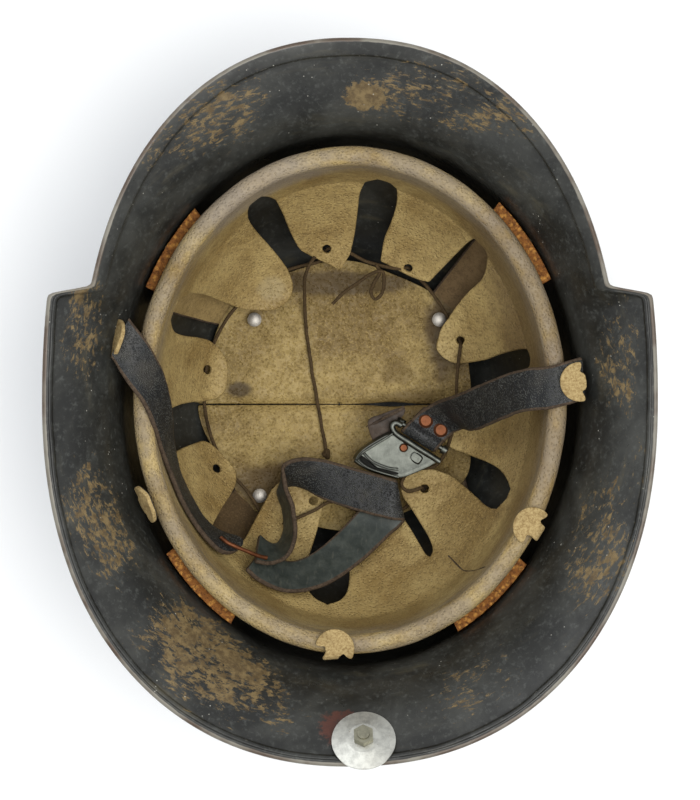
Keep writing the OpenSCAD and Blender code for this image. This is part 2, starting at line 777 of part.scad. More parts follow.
module clasp_rivet() {
    color("#a5643f")
        on_clasp()
            translate([clasp_rivet_at[0], clasp_rivet_at[1], 0]) {
                translate([0, 0, plate_low + plate_t + 0.1])
                    cylinder(d1 = 4, d2 = 2.8, h = 0.9);
                translate([0, 0, plate_low - 2])
                    cylinder(d = 2, h = 3.5);
                translate([0, 0, plate_low - 2.6])
                    cylinder(d = 3.6, h = 0.7);
            }
}

module clasp_backing() {
    color("#4a3828")
        on_clasp()
            difference() {
                translate([0, 0, plate_low - 1.8])
                    linear_extrude(1.6)
                        offset(r = 2)
                            polygon([[-3, 7], [-3, 11], [-13, 15], [-23, 7], [-14, -5], [-15, 3], [-11, 7]]);
                translate([clasp_rivet_at[0], clasp_rivet_at[1], -4])
                    cylinder(d = 2 + 2 * slack, h = 6);
            }
}

module chin_strap_left() {
    color("#26282a")
        strip(left_route, strap_w, strap_t);
}

module chin_strap_loop() {
    color("#2c302d")
        strip(loop_route, strap_w, strap_t);
}

// Bent wire that joins the strap's left half to its loop
module wire_slide() {
    wire_route = [
        [-57, -60.5, 83], [-54, -62.8, 84], [-50, -64.8, 83], [-45, -67, 80.5],
        [-40.5, -69, 77.5], [-37, -70, 75]
    ];
    color("#a5643f")
        tube(wire_route, 0.9);
}

shell();
neck_bolt();
neck_washer();
neck_nut();
liner_band();
sweatband();
cork_front_left();
cork_front_right();
cork_rear_left();
cork_rear_right();
liner_rivets();
crown_pad_front();
crown_pad_rear();
suspension_front_left();
suspension_front_right();
suspension_rear_left();
suspension_rear_right();
crown_rivets();
drawstring();
drawstring_bow();
drawstring_tail();
button_rear();
button_rear_left();
button_rear_right();
button_left();
button_right();
strap_end_left();
strap_end_right();
chin_strap_right();
strap_rivets();
clasp_pin();
clasp_plate();
clasp_rivet();
clasp_backing();
chin_strap_left();
chin_strap_loop();
wire_slide();
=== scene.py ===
import math

import bpy
import numpy as np
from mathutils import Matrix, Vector, noise


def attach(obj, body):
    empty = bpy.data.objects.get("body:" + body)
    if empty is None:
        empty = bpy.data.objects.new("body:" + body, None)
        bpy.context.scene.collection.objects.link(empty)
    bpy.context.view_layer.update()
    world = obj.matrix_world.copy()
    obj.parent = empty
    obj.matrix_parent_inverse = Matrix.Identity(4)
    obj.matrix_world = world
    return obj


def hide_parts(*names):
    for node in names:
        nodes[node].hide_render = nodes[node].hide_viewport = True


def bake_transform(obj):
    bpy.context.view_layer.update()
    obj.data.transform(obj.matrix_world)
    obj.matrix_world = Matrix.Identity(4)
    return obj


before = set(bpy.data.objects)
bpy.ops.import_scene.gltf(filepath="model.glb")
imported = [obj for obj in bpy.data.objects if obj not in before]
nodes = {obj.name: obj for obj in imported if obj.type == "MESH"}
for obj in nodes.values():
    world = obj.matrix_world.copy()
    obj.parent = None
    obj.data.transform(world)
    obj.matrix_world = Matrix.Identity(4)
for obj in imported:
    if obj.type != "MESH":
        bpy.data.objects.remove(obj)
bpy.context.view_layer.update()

MM = 0.001


# ---------------------------------------------------------------- camera and light
def add_camera():
    data = bpy.data.cameras.new("camera")
    data.lens = 129.34
    data.sensor_width = 36
    camera = bpy.data.objects.new("camera", data)
    camera.location = (0, 0, 1.35)
    bpy.context.scene.collection.objects.link(camera)
    bpy.context.scene.camera = camera


def add_light(name, at, size, energy, color):
    data = bpy.data.lights.new(name, "AREA")
    data.shape = "DISK"
    data.size = size
    data.energy = energy
    data.color = color
    light = bpy.data.objects.new(name, data)
    light.location = at
    light.rotation_euler = (Vector((0, 0, 0.08)) - Vector(at)).to_track_quat("-Z", "Y").to_euler()
    bpy.context.scene.collection.objects.link(light)


def add_floor():
    mesh = bpy.data.meshes.new("floor")
    half = 3.0
    corners = [(-half, -half, 0), (half, -half, 0), (half, half, 0), (-half, half, 0)]
    mesh.from_pydata(corners, [], [(0, 1, 2, 3)])
    floor = bpy.data.objects.new("floor", mesh)
    bpy.context.scene.collection.objects.link(floor)
    mat = Shader("floor_paper", (0.86, 0.87, 0.88), 0.7)
    grain = mat.noise(900, 3)
    mat.bump(grain, 0.02, 0.0002)
    mesh.materials.append(mat.done())


# ---------------------------------------------------------------- node materials
class Shader:
    """A node material in the making, on the piece's own coordinates in metres."""

    def __init__(self, name, color, roughness, metallic=0.0, specular=0.5):
        self.material = bpy.data.materials.new(name)
        self.material.use_nodes = True
        self.tree = self.material.node_tree
        self.tree.nodes.clear()
        self.output = self.tree.nodes.new("ShaderNodeOutputMaterial")
        self.shader = self.tree.nodes.new("ShaderNodeBsdfPrincipled")
        self.tree.links.new(self.shader.outputs[0], self.output.inputs[0])
        self.set("Base Color", (*color, 1))
        self.set("Roughness", roughness)
        self.set("Metallic", metallic)
        self.set("Specular IOR Level", specular)
        self.normal = None
        self.coords = self.tree.nodes.new("ShaderNodeTexCoord").outputs["Object"]

    def set(self, socket, value):
        self.plug(self.shader.inputs[socket], value)

    def plug(self, socket, value):
        if isinstance(value, bpy.types.NodeSocket):
            self.tree.links.new(value, socket)
        elif hasattr(value, "__len__") and len(value) == 3 and socket.type == "RGBA":
            socket.default_value = (*value, 1)
        else:
            socket.default_value = value

    def node(self, kind, inputs=(), **settings):
        made = self.tree.nodes.new(kind)
        for key, value in settings.items():
            setattr(made, key, value)
        for key, value in dict(inputs).items():
            self.plug(made.inputs[key], value)
        return made

    def vector(self, operation, a, b=None, output=0):
        inputs = {0: a} if b is None else {0: a, 1: b}
        return self.node("ShaderNodeVectorMath", inputs, operation=operation).outputs[output]

    def mapped(self, scale, rotation=(0, 0, 0)):
        made = self.node("ShaderNodeMapping", {"Vector": self.coords, "Scale": scale})
        made.inputs["Rotation"].default_value = [math.radians(a) for a in rotation]
        return made.outputs[0]

    def ringwise(self, along, across):
        """Coordinates for grain that runs round the helmet: scales along the ring and across it."""
        flat = self.vector("MULTIPLY", self.coords, (1, 1, 0))
        radius = self.vector("LENGTH", flat, output="Value")
        ring = self.vector("NORMALIZE", flat)
        ring = self.vector("MULTIPLY", ring, [0.13 * along] * 3)
        rise = self.times(radius, across)
        lift = self.node("ShaderNodeCombineXYZ", {"Z": rise}).outputs[0]
        return self.vector("ADD", ring, lift)

    def noise(self, scale, detail=4.0, rough=0.55, warp=0.0, coords=None):
        made = self.node("ShaderNodeTexNoise", {
            "Vector": coords or self.coords, "Scale": scale, "Detail": detail, "Roughness": rough,
            "Distortion": warp})
        return made.outputs["Fac"]

    def cells(self, scale):
        return self.node("ShaderNodeTexVoronoi", {"Vector": self.coords, "Scale": scale}).outputs["Distance"]

    def math(self, operation, a, b):
        return self.node("ShaderNodeMath", {0: a, 1: b}, operation=operation).outputs[0]

    def times(self, a, b):
        return self.math("MULTIPLY", a, b)

    def plus(self, a, b):
        return self.math("ADD", a, b)

    def sway(self, value, amount):
        """A noise's distance from its middle, times an amount."""
        return self.times(self.math("SUBTRACT", value, 0.5), amount)

    def steps(self, value, low, high, to_low=0.0, to_high=1.0):
        made = self.node("ShaderNodeMapRange", {
            "Value": value, "From Min": low, "From Max": high, "To Min": to_low, "To Max": to_high},
            interpolation_type="SMOOTHSTEP")
        return made.outputs["Result"]

    def mix(self, factor, a, b):
        made = self.node("ShaderNodeMix", data_type="RGBA")
        self.plug(made.inputs["Factor"], factor)
        self.plug(made.inputs[6], a)
        self.plug(made.inputs[7], b)
        return made.outputs[2]

    def spot(self, centre, radii, turn=0.0):
        """1 inside an ellipsoid round a point given in mm, falling to 0 outside it."""
        moved = self.vector("SUBTRACT", self.coords, [c * MM for c in centre])
        turned = self.node("ShaderNodeVectorRotate", {"Vector": moved, "Angle": math.radians(-turn)},
                           rotation_type="Z_AXIS").outputs[0]
        scaled = self.vector("MULTIPLY", turned, [1 / (r * MM) for r in radii])
        length = self.vector("LENGTH", scaled, output="Value")
        return self.steps(length, 0.3, 1.2, 1.0, 0.0)

    def spots(self, table):
        """The strongest of some spots: centre, radii, turn and amount of each."""
        strongest = None
        for centre, radii, turn, amount in table:
            spot = self.times(self.spot(centre, radii, turn), amount)
            strongest = spot if strongest is None else self.math("MAXIMUM", strongest, spot)
        return strongest

    def height(self):
        return self.node("ShaderNodeSeparateXYZ", {0: self.coords}).outputs["Z"]

    def bump(self, height, strength, distance):
        made = self.node("ShaderNodeBump", {"Height": height, "Strength": strength, "Distance": distance})
        if self.normal is not None:
            self.plug(made.inputs["Normal"], self.normal)
        self.normal = made.outputs[0]

    def done(self):
        if self.normal is not None:
            self.set("Normal", self.normal)
        return self.material


def paint_material():
    s = Shader("worn_black_paint", (0.03, 0.031, 0.03), 0.4, specular=0.4)
    fine = s.noise(420, 6, 0.7)
    broad = s.noise(38, 5, 0.6, 0.4)
    cloud = s.noise(14, 3)
    streaks = s.noise(1, 4, 0.6, coords=s.ringwise(40, 260))
    flecks = s.noise(1, 7, 0.75, 0.5, coords=s.ringwise(210, 640))
    base = s.mix(s.steps(broad, 0.35, 0.7), (0.011, 0.0115, 0.0105), (0.036, 0.037, 0.033))
    base = s.mix(s.times(s.steps(fine, 0.5, 0.72), 0.45), base, (0.085, 0.09, 0.083))
    hairs = s.noise(1, 3, 0.7, coords=s.mapped((2400, 170, 300)))
    hairs = s.times(s.steps(hairs, 0.66, 0.72), s.steps(s.noise(70, 2), 0.5, 0.62))
    base = s.mix(s.times(hairs, 0.5), base, (0.17, 0.17, 0.155))
    dust = s.times(s.steps(streaks, 0.52, 0.75), s.steps(cloud, 0.42, 0.66))
    base = s.mix(s.times(dust, 0.6), base, (0.085, 0.075, 0.048))
    # bare patches, each with a ragged edge
    patches = s.spots(PAINT_PATCHES)
    ragged = s.plus(patches, s.sway(fine, 1.7))
    ragged = s.plus(ragged, s.sway(broad, 1.1))
    bare = s.steps(ragged, 0.62, 0.8)
    scuffs = s.spots(PAINT_SCUFFS)
    scuffed = s.plus(s.times(scuffs, 0.34), s.math("SUBTRACT", flecks, 0.5))
    scuffed = s.plus(scuffed, s.sway(broad, 0.45))
    chips = s.steps(scuffed, 0.25, 0.31)
    everywhere = s.steps(s.plus(flecks, s.times(cloud, 0.3)), 0.84, 0.88)
    worn = s.math("MAXIMUM", s.math("MAXIMUM", bare, chips), s.times(everywhere, 0.6))
    ochre = s.mix(s.steps(s.noise(260, 5, 0.7), 0.35, 0.65), (0.085, 0.054, 0.02), (0.19, 0.132, 0.055))
    color = s.mix(s.times(worn, 0.85), base, ochre)
    specks = s.times(s.steps(s.cells(260), 0.05, 0.09, 1.0, 0.0), s.steps(s.noise(55, 2), 0.5, 0.6))
    color = s.mix(s.times(specks, 0.75), color, (0.4, 0.39, 0.34))
    # the rim's edge is worn to brown steel
    edge = s.node("ShaderNodeAttribute", attribute_name="edge_wear").outputs["Fac"]
    edge = s.steps(s.plus(edge, s.sway(s.noise(300, 5), 0.9)), 0.45, 0.8)
    rubbed = s.mix(s.steps(s.noise(45, 3), 0.4, 0.62), (0.075, 0.048, 0.03), (0.2, 0.185, 0.15))
    color = s.mix(s.times(edge, 0.8), color, rubbed)
    rust = s.spot(RUST_AT, (17, 15, 18))
    rust = s.steps(s.plus(rust, s.sway(fine, 1.2)), 0.7, 0.95)
    color = s.mix(s.times(rust, 0.7), color, (0.09, 0.025, 0.014))
    s.set("Base Color", color)
    s.set("Roughness", s.plus(s.steps(s.noise(90, 5), 0.3, 0.75, 0.27, 0.5), s.times(worn, 0.25)))
    s.bump(worn, 0.25, -0.00012)
    s.bump(s.noise(700, 4), 0.08, 0.0002)
    s.bump(s.noise(60, 3), 0.12, 0.0012)
    return s.done()


def leather_material(name, light, dark, grime=None, pores=500, follicles=0, stains_and_shade=()):
    s = Shader(name, light, 0.62, specular=0.35)
    mottle = s.noise(260, 5, 0.65)
    cloud = s.noise(32, 4, 0.55, 0.5)
    color = s.mix(s.steps(cloud, 0.32, 0.7), light, dark)
    color = s.mix(s.times(s.steps(mottle, 0.42, 0.7), 0.4), color, [0.62 * c for c in dark])
    fine = s.noise(1100, 4, 0.7)
    color = s.mix(s.times(s.steps(fine, 0.52, 0.66), 0.5), color, [1.2 * c for c in light])
    color = s.mix(s.times(s.steps(fine, 0.34, 0.48, 1, 0), 0.5), color, [0.55 * c for c in dark])
    holes = s.cells(pores)
    dots = s.steps(holes, 0.1, 0.2, 1.0, 0.0)
    sparse = s.steps(s.noise(120, 2), 0.5, 0.6)
    dots = s.times(dots, sparse)
    color = s.mix(s.times(dots, 0.6), color, [0.3 * c for c in dark])
    # patches from a table: stains, and painted shade where the table puts darker leather in shadowed places
    for centre, radii, amount, tint in stains_and_shade:
        reach = s.plus(s.spot(centre, radii), s.sway(cloud, 0.9))
        reach = s.plus(reach, s.sway(mottle, 0.4))
        color = s.mix(s.times(s.steps(reach, 0.25, 0.9), amount), color, tint)
    if follicles:
        pits = s.times(s.steps(s.cells(follicles), 0.1, 0.32, 1.0, 0.0), s.steps(s.noise(90, 3), 0.35, 0.6))
        color = s.mix(s.times(pits, 0.25), color, [0.5 * c for c in dark])
    if grime:
        level = s.steps(s.height(), 0.088, 0.116)
        streaky = s.noise(1, 5, 0.6, coords=s.mapped((60, 60, 320)))
        level = s.times(level, s.steps(streaky, 0.3, 0.62))
        color = s.mix(s.times(level, 0.62), color, grime)
    s.set("Base Color", color)
    s.set("Roughness", s.steps(mottle, 0.3, 0.7, 0.5, 0.75))
    s.bump(s.noise(900, 4, 0.65), 0.3, 0.00025)
    if follicles:
        s.bump(s.steps(s.cells(follicles), 0.1, 0.5), 0.7, 0.0005)
    s.bump(s.noise(110, 4, 0.6), 0.3, 0.0006)
    s.bump(dots, 0.4, -0.0003)
    return s.done()


def strap_material(name, grain):
    s = Shader(name, (0.02, 0.022, 0.024), 0.5, specular=0.4)
    if grain:
        pebbles = s.cells(1250)
        lumps = s.steps(pebbles, 0.18, 0.55, 1.0, 0.0)
        # the pebble tops are painted lighter: partly wear, partly painted highlight
        worn = s.times(lumps, s.steps(s.noise(240, 4), 0.3, 0.6))
        color = s.mix(s.times(worn, 0.6), (0.009, 0.01, 0.011), (0.1, 0.105, 0.095))
        color = s.mix(s.times(s.steps(s.noise(60, 3), 0.5, 0.75), 0.3), color, (0.075, 0.065, 0.048))
        s.bump(lumps, 0.8, 0.0004)
        s.bump(s.noise(150, 3), 0.25, 0.0006)
        s.set("Roughness", s.steps(worn, 0, 1, 0.5, 0.38))
    else:
        color = s.mix(s.steps(s.noise(120, 5, 0.7), 0.35, 0.75), (0.018, 0.024, 0.021), (0.05, 0.058, 0.05))
        color = s.mix(s.times(s.steps(s.noise(1, 4, coords=s.mapped((700, 120, 300))), 0.55, 0.75), 0.35),
                      color, (0.1, 0.1, 0.08))
        s.bump(s.noise(1200, 3), 0.25, 0.0002)
        s.bump(s.noise(130, 4), 0.3, 0.0006)
        s.set("Roughness", s.steps(s.noise(300, 4), 0.3, 0.7, 0.42, 0.62))
    s.set("Base Color", color)
    return s.done()


def fibre_material(name, light, dark, scale=900, shine=0.2):
    """Raw cut edges of leather, suede and lace."""
    s = Shader(name, light, 0.85, specular=shine)
    fibres = s.noise(scale, 6, 0.75)
    color = s.mix(s.steps(fibres, 0.35, 0.68), light, dark)
    color = s.mix(s.times(s.steps(s.noise(110, 3), 0.5, 0.75), 0.55), color, [0.6 * c for c in dark])
    s.set("Base Color", color)
    s.bump(fibres, 0.6, 0.0003)
    s.bump(s.noise(260, 4), 0.4, 0.0005)
    return s.done()


def cork_material():
    s = Shader("cork", (0.42, 0.19, 0.05), 0.9, specular=0.2)
    lumps = s.cells(420)
    grain = s.noise(700, 6, 0.75)
    color = s.mix(s.steps(lumps, 0.15, 0.55), (0.42, 0.2, 0.045), (0.2, 0.078, 0.018))
    color = s.mix(s.times(s.steps(grain, 0.45, 0.62), 0.8), color, (0.06, 0.022, 0.008))
    s.set("Base Color", color)
    s.bump(lumps, 0.7, 0.0006)
    s.bump(grain, 0.6, 0.0005)
    return s.done()


def metal_material(name, color, roughness, rust=0.0, rust_color=(0.16, 0.07, 0.03), scratch=1.0):
    s = Shader(name, color, roughness, metallic=1.0)
    cloud = s.noise(330, 5, 0.65)
    lines = s.noise(1, 4, 0.7, coords=s.mapped((2600, 300, 900), (0, 0, 28)))
    tone = s.mix(s.steps(cloud, 0.35, 0.7), color, [0.7 * c for c in color])
    tone = s.mix(s.times(s.steps(lines, 0.55, 0.72), 0.35 * scratch), tone, [min(1, 1.5 * c) for c in color])
    if rust:
        spots = s.steps(s.noise(520, 6, 0.75), 0.72 - 0.3 * rust, 0.82 - 0.25 * rust)
        tone = s.mix(spots, tone, rust_color)
        s.set("Metallic", s.math("SUBTRACT", 1.0, spots))
        s.set("Roughness", s.steps(spots, 0, 1, roughness, 0.85))
    else:
        s.set("Roughness", s.steps(cloud, 0.3, 0.75, roughness - 0.08, roughness + 0.12))
    s.set("Base Color", tone)
    s.bump(cloud, 0.25, 0.0003)
    s.bump(lines, 0.15 * scratch, 0.0001)
    return s.done()


PAINT_PATCHES = [
    ((7, 128, 138), (17, 11, 20), -4, 1.0), ((27, 129, 138), (5, 4, 20), 0, 0.7),
    ((-16, 127, 138), (5, 3, 20), 20, 0.55), ((-84, 101, 138), (12, 9, 20), 45, 0.55),
    ((-113, 34, 146), (6, 4, 20), 30, 0.5), ((-66, -96, 138), (16, 5, 20), -40, 0.62),
    ((-48, -120, 142), (20, 4, 20), -28, 0.55), ((-80, -88, 138), (6, 5, 20), -40, 0.5)]
PAINT_SCUFFS = [
    ((-57, -110, 140), (54, 30, 40), -38, 1.0), ((-105, -50, 145), (20, 44, 40), 20, 0.75),
    ((105, -60, 145), (24, 56, 40), -15, 0.6), ((40, 128, 140), (66, 22, 40), -10, 0.7),
    ((-60, 118, 140), (50, 24, 40), 30, 0.65), ((-112, 30, 146), (14, 40, 40), 0, 0.75),
    ((112, 20, 146), (16, 44, 40), 0, 0.65), ((60, -115, 146), (50, 26, 40), 25, 0.5)]
RUST_AT = (-3, -136, 149)


# ---------------------------------------------------------------- mesh helpers
def make(name, points, faces, materials, indices=None):
    """A smooth mesh object from points in mm."""
    mesh = bpy.data.meshes.new(name)
    mesh.from_pydata((np.asarray(points, float) * MM).tolist(), [], faces)
    for m in materials:
        mesh.materials.append(m)
    if indices is not None:
        mesh.polygons.foreach_set("material_index", indices)
    mesh.polygons.foreach_set("use_smooth", [True] * len(faces))
    mesh.validate()
    mesh.update()
    made = bpy.data.objects.new(name, mesh)
    bpy.context.scene.collection.objects.link(made)
    return made


def grid(rows, cols, closed=False, start=0):
    width = cols if closed else cols - 1
    return [(start + i * cols + j, start + i * cols + (j + 1) % cols,
             start + (i + 1) * cols + (j + 1) % cols, start + (i + 1) * cols + j)
            for i in range(rows - 1) for j in range(width)]


def spline(points, count, closed=False):
    """Evenly spaced points of a smooth curve through the given ones; extra columns go along."""
    p = np.array(points, float)
    q = np.vstack([p[-1:], p, p[:2]]) if closed else np.vstack([2 * p[0] - p[1], p, 2 * p[-1] - p[-2]])
    t = np.linspace(0, 1, 24, endpoint=False)[:, None]
    parts = []
    for i in range(len(q) - 3):
        a, b, c, d = q[i:i + 4]
        parts.append(0.5 * (2 * b + (c - a) * t + (2 * a - 5 * b + 4 * c - d) * t ** 2
                            + (3 * b - a - 3 * c + d) * t ** 3))
    parts.append(q[-2:-1])
    dense = np.vstack(parts)
    if closed:
        dense[-1] = dense[0]
    width = min(3, dense.shape[1])
    along = np.r_[0, np.cumsum(np.linalg.norm(np.diff(dense[:, :width], axis=0), axis=1))]
    at = np.linspace(0, along[-1], count + 1 if closed else count)
    at = at[:-1] if closed else at
    return np.column_stack([np.interp(at, along, dense[:, k]) for k in range(dense.shape[1])])


def rough(point, size, seed=0.0):
    """Smooth noise from -1 to 1 with features of a size in mm."""
    return noise.noise(Vector((point[0] / size + seed, point[1] / size - seed, point[2] / size + 2 * seed)))


def unit(v):
    return v / np.linalg.norm(v, axis=-1, keepdims=True)


def subdivide(piece):
    mod = piece.modifiers.new("subdivision", "SUBSURF")
    mod.levels = mod.render_levels = 1


def ribbon(name, rows, width, thick, count, materials, grain=1, wave=0.25, end_round=(False, False)):
    """A strap along rows of x, y, z, azimuth and elevation of its width, with raw rounded edges.
    The materials are those of the grain side, the back and the edges."""
    line = spline(rows, count)
    along = unit(np.gradient(line[:, :3], axis=0))
    az, el = np.radians(line[:, 3]), np.radians(line[:, 4])
    side = np.column_stack([np.cos(el) * np.cos(az), np.cos(el) * np.sin(az), np.sin(el)])
    face = unit(np.cross(along, side)) * grain
    half, r = width / 2, 0.45 * thick
    flat = np.linspace(-half + r, half - r, 9)
    bends = np.radians([36, 72, 108, 144])
    outline = [(x, thick / 2) for x in flat]
    outline += [(half - r + r * math.sin(a), thick / 2 * math.cos(a)) for a in bends]
    outline += [(x, -thick / 2) for x in flat[::-1]]
    outline += [(-half + r - r * math.sin(a), -thick / 2 * math.cos(a)) for a in bends]
    kinds = [0] * 8 + [2] * 5 + [1] * 8 + [2] * 5
    points = []
    run = np.linspace(0, 1, count)
    length = np.linalg.norm(np.diff(line[:, :3], axis=0), axis=1).sum()
    for i in range(count):
        squeeze = 1.0
        for end, near in ((0, run[i] * length), (1, (1 - run[i]) * length)):
            if end_round[end] and near < half:
                squeeze = min(squeeze, math.sqrt(max(0.02, 1 - ((half - near) / half) ** 2)))
        for x, z in outline:
            p = line[i, :3] + side[i] * x * squeeze
            lift = wave * rough(p, 9, 3.1) + 0.12 * rough(p, 3, 1.7)
            fray = side[i] * 0.2 * rough(line[i, :3], 5, math.copysign(2, x))
            points.append(p + face[i] * (z + lift) + fray)
    n = len(outline)
    faces = grid(count, n, closed=True)
    indices = kinds * (count - 1)
    faces += [tuple(range(n))[::-1], tuple(range((count - 1) * n, count * n))]
    indices += [2, 2]
    if grain < 0:
        faces = [f[::-1] for f in faces]
    piece = make(name, points, [f[::-1] for f in faces], materials, indices)
    subdivide(piece)
    return piece


def lace(name, route, diameter, material, count, closed=False, wobble=0.25):
    """A round lace along a route in mm, as a curve of one spline, and its length in mm."""
    line = spline(route, count, closed)
    curve = bpy.data.curves.new(name, "CURVE")
    curve.dimensions = "3D"
    curve.bevel_depth = diameter / 2 * MM
    curve.bevel_resolution = 3
    curve.use_fill_caps = True
    row = curve.splines.new("POLY")
    row.points.add(count - 1)
    for i, p in enumerate(line):
        ends = 0.0 if i in (0, count - 1) else wobble
        q = [c + ends * rough(p, 6, 5.0 + k) for k, c in enumerate(p)]
        row.points[i].co = (*[c * MM for c in q], 1)
        row.points[i].radius = 1 + 0.12 * rough(p, 3, 9.0)
    row.use_cyclic_u = closed
    row.use_smooth = True
    curve.materials.append(material)
    made = bpy.data.objects.new(name, curve)
    bpy.context.scene.collection.objects.link(made)
    laid = np.array([[c / MM for c in q.co[:3]] for q in row.points])
    return made, float(np.linalg.norm(np.diff(laid, axis=0), axis=1).sum())


# ---------------------------------------------------------------- the helmet's own shape, as in the CAD
LINER_A, LINER_B, LINER_Z, ROLL_R = 93, 109, 122, 4.3


def oval(a, b, power, t):
    return 1 / ((np.abs(np.cos(t)) / a) ** power + (np.abs(np.sin(t)) / b) ** power) ** (1 / power)


def gather_r(t):
    """Distance from the middle to the ring that the lace lies on."""
    cx, cy, r = -6, 3, 61
    along = cx * np.cos(t) + cy * np.sin(t)
    return along + np.sqrt(r * r - cx * cx - cy * cy + along * along)


add_camera()

LACE_MATERIAL = fibre_material("lace_leather", (0.085, 0.055, 0.025), (0.032, 0.02, 0.009), 1600)
TAIL_ROUTE = [
    (-16, 65.5, 39.3), (-19, 61, 39), (-20.6, 56, 37.4), (-20.9, 51, 32), (-20.9, 44, 26.4),
    (-20.6, 37, 23.4), (-19.6, 28, 21.7), (-18.4, 19, 20.6), (-17, 10, 19.9), (-15.4, 1, 19.6),
    (-13.8, -8, 19.8), (-12.2, -17, 20.5), (-10.8, -25, 21.9)]
BOW_ROUTE = [
    (12, 61.5, 41.2), (13.5, 58, 41.6), (11, 53.5, 40), (9.5, 49.5, 37.5), (11.5, 46, 36.5), (14.5, 49, 38),
    (15.4, 54, 40.3), (14.5, 58.5, 42.8), (9, 57, 42), (3, 53, 39), (-3, 49, 36), (-8, 44, 33.5)]
STRING_ROUTE = [
    (-10.6, 68.8, 36.5), (-8, 69, 38.8), (-1, 67.5, 39.3), (8, 63, 39.3), (20, 60, 39.3), (24.5, 60.3, 38.8),
    (27, 60.2, 36.5), (29.5, 58, 32.6), (37, 50, 31.2), (44, 39.5, 31.2), (49.5, 28.5, 32.6),
    (50.6, 25.9, 36.5), (50.2, 22.8, 38.8), (48.8, 10, 38.2), (48.4, -3, 37.2), (47, -13, 36.6),
    (44, -23, 36.8), (39, -30, 36.8), (31.5, -31.5, 37), (25.5, -34.5, 36.8), (23.5, -38.5, 36.8),
    (26, -41.5, 37.2), (30, -41, 38.6), (32.8, -40.1, 36.5), (32, -43, 32.6), (25, -49.5, 31.2),
    (15.5, -54, 32.6), (12.5, -54.1, 36.5), (9.5, -53.5, 38.6), (1, -49.5, 37.2), (-8.5, -46.5, 36.6),
    (-16.5, -50.5, 37.8), (-24, -53.8, 39), (-31.5, -57, 39.3), (-34.3, -57.7, 36.5), (-37.5, -57, 32.6),
    *[(-6 + 61 * math.cos(math.radians(t)), 3 + 61 * math.sin(math.radians(t)), 31.2)
      for t in range(228, 97, -13)],
    (-12.5, 66.5, 32.6)]


def knot(at, radius):
    """An overhand knot in the lace's end: three lumps round one another."""
    points, faces = [], []
    rows, cols = 14, 20
    for i in range(rows):
        a = math.pi * (i + 0.5) / rows
        for j in range(cols):
            b = 2 * math.pi * j / cols
            r = radius * (1 + 0.2 * math.cos(3 * b + 2 * a) * math.sin(a))
            points.append((at[0] + r * math.sin(a) * math.cos(b),
                           at[1] + 1.25 * r * math.sin(a) * math.sin(b),
                           at[2] + r * math.cos(a)))
    faces = grid(rows, cols, closed=True)
    faces += [tuple(range(cols)), tuple(range((rows - 1) * cols, rows * cols))[::-1]]
    made = make("drawstring_knot", points, [f[::-1] for f in faces], [LACE_MATERIAL])
    subdivide(made)
    return made


def pad_top(x, y):
    """Height of the crown pad's leather, without its wrinkles."""
    d = np.hypot(x + 5, y - 2) / 62
    inside = 1 / (1 + np.exp((d - 0.72) / 0.045))
    seam = 1.5 * np.exp(-((y + 2) / 2.1) ** 2)
    return 17.6 + 11 * d * d - 3.1 * (1 - inside) - seam


def above_pad(route):
    line = spline(route, 60)
    line[:, 2] = np.maximum(line[:, 2], np.where(line[:, 1] < 50, pad_top(line[:, 0], line[:, 1]) + 1.7, 0))
    return [tuple(p) for p in line]


def build_laces():
    tail, tail_length = lace("drawstring_tail_lace", above_pad(TAIL_ROUTE), 1.6, LACE_MATERIAL, 90)
    end_knot = knot(TAIL_ROUTE[-1], 1.9)
    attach(tail, "root")
    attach(end_knot, "root")
    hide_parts("drawstring_tail")
    [c * MM for c in TAIL_ROUTE[0]]
    bow, bow_length = lace("drawstring_bow_lace", BOW_ROUTE, 1.6, LACE_MATERIAL, 70)
    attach(bow, "root")
    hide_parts("drawstring_bow")
    [c * MM for c in BOW_ROUTE[0]]
    string, _ = lace("drawstring_lace", STRING_ROUTE, 1.6, LACE_MATERIAL, 330, closed=True, wobble=0.15)
    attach(string, "root")
    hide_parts("drawstring")


build_laces()

PAINT = paint_material()
GREASE = (0.19, 0.16, 0.125)
# Patches on the sweatband, each a centre, radii, amount and tint: the first two, darker brown on the right
# side of the wall, are painted shade; the others are stains.
BAND_STAINS_AND_SHADE = [
    ((80, 45, 100), (50, 60, 70), 0.62, (0.13, 0.085, 0.04)),
    ((80, -20, 100), (40, 60, 70), 0.5, (0.17, 0.11, 0.045)),
    ((-45, 92, 112), (60, 30, 30), 0.55, (0.27, 0.235, 0.2)),
    ((30, 88, 112), (50, 20, 25), 0.45, (0.2, 0.165, 0.12)),
    ((0, -85, 80), (60, 30, 40), 0.35, (0.25, 0.165, 0.05)),
    ((-36, 51, 36), (9, 8, 16), 0.45, (0.34, 0.28, 0.16)),
    ((-86, 10, 100), (8, 40, 40), 0.35, (0.2, 0.14, 0.07))]
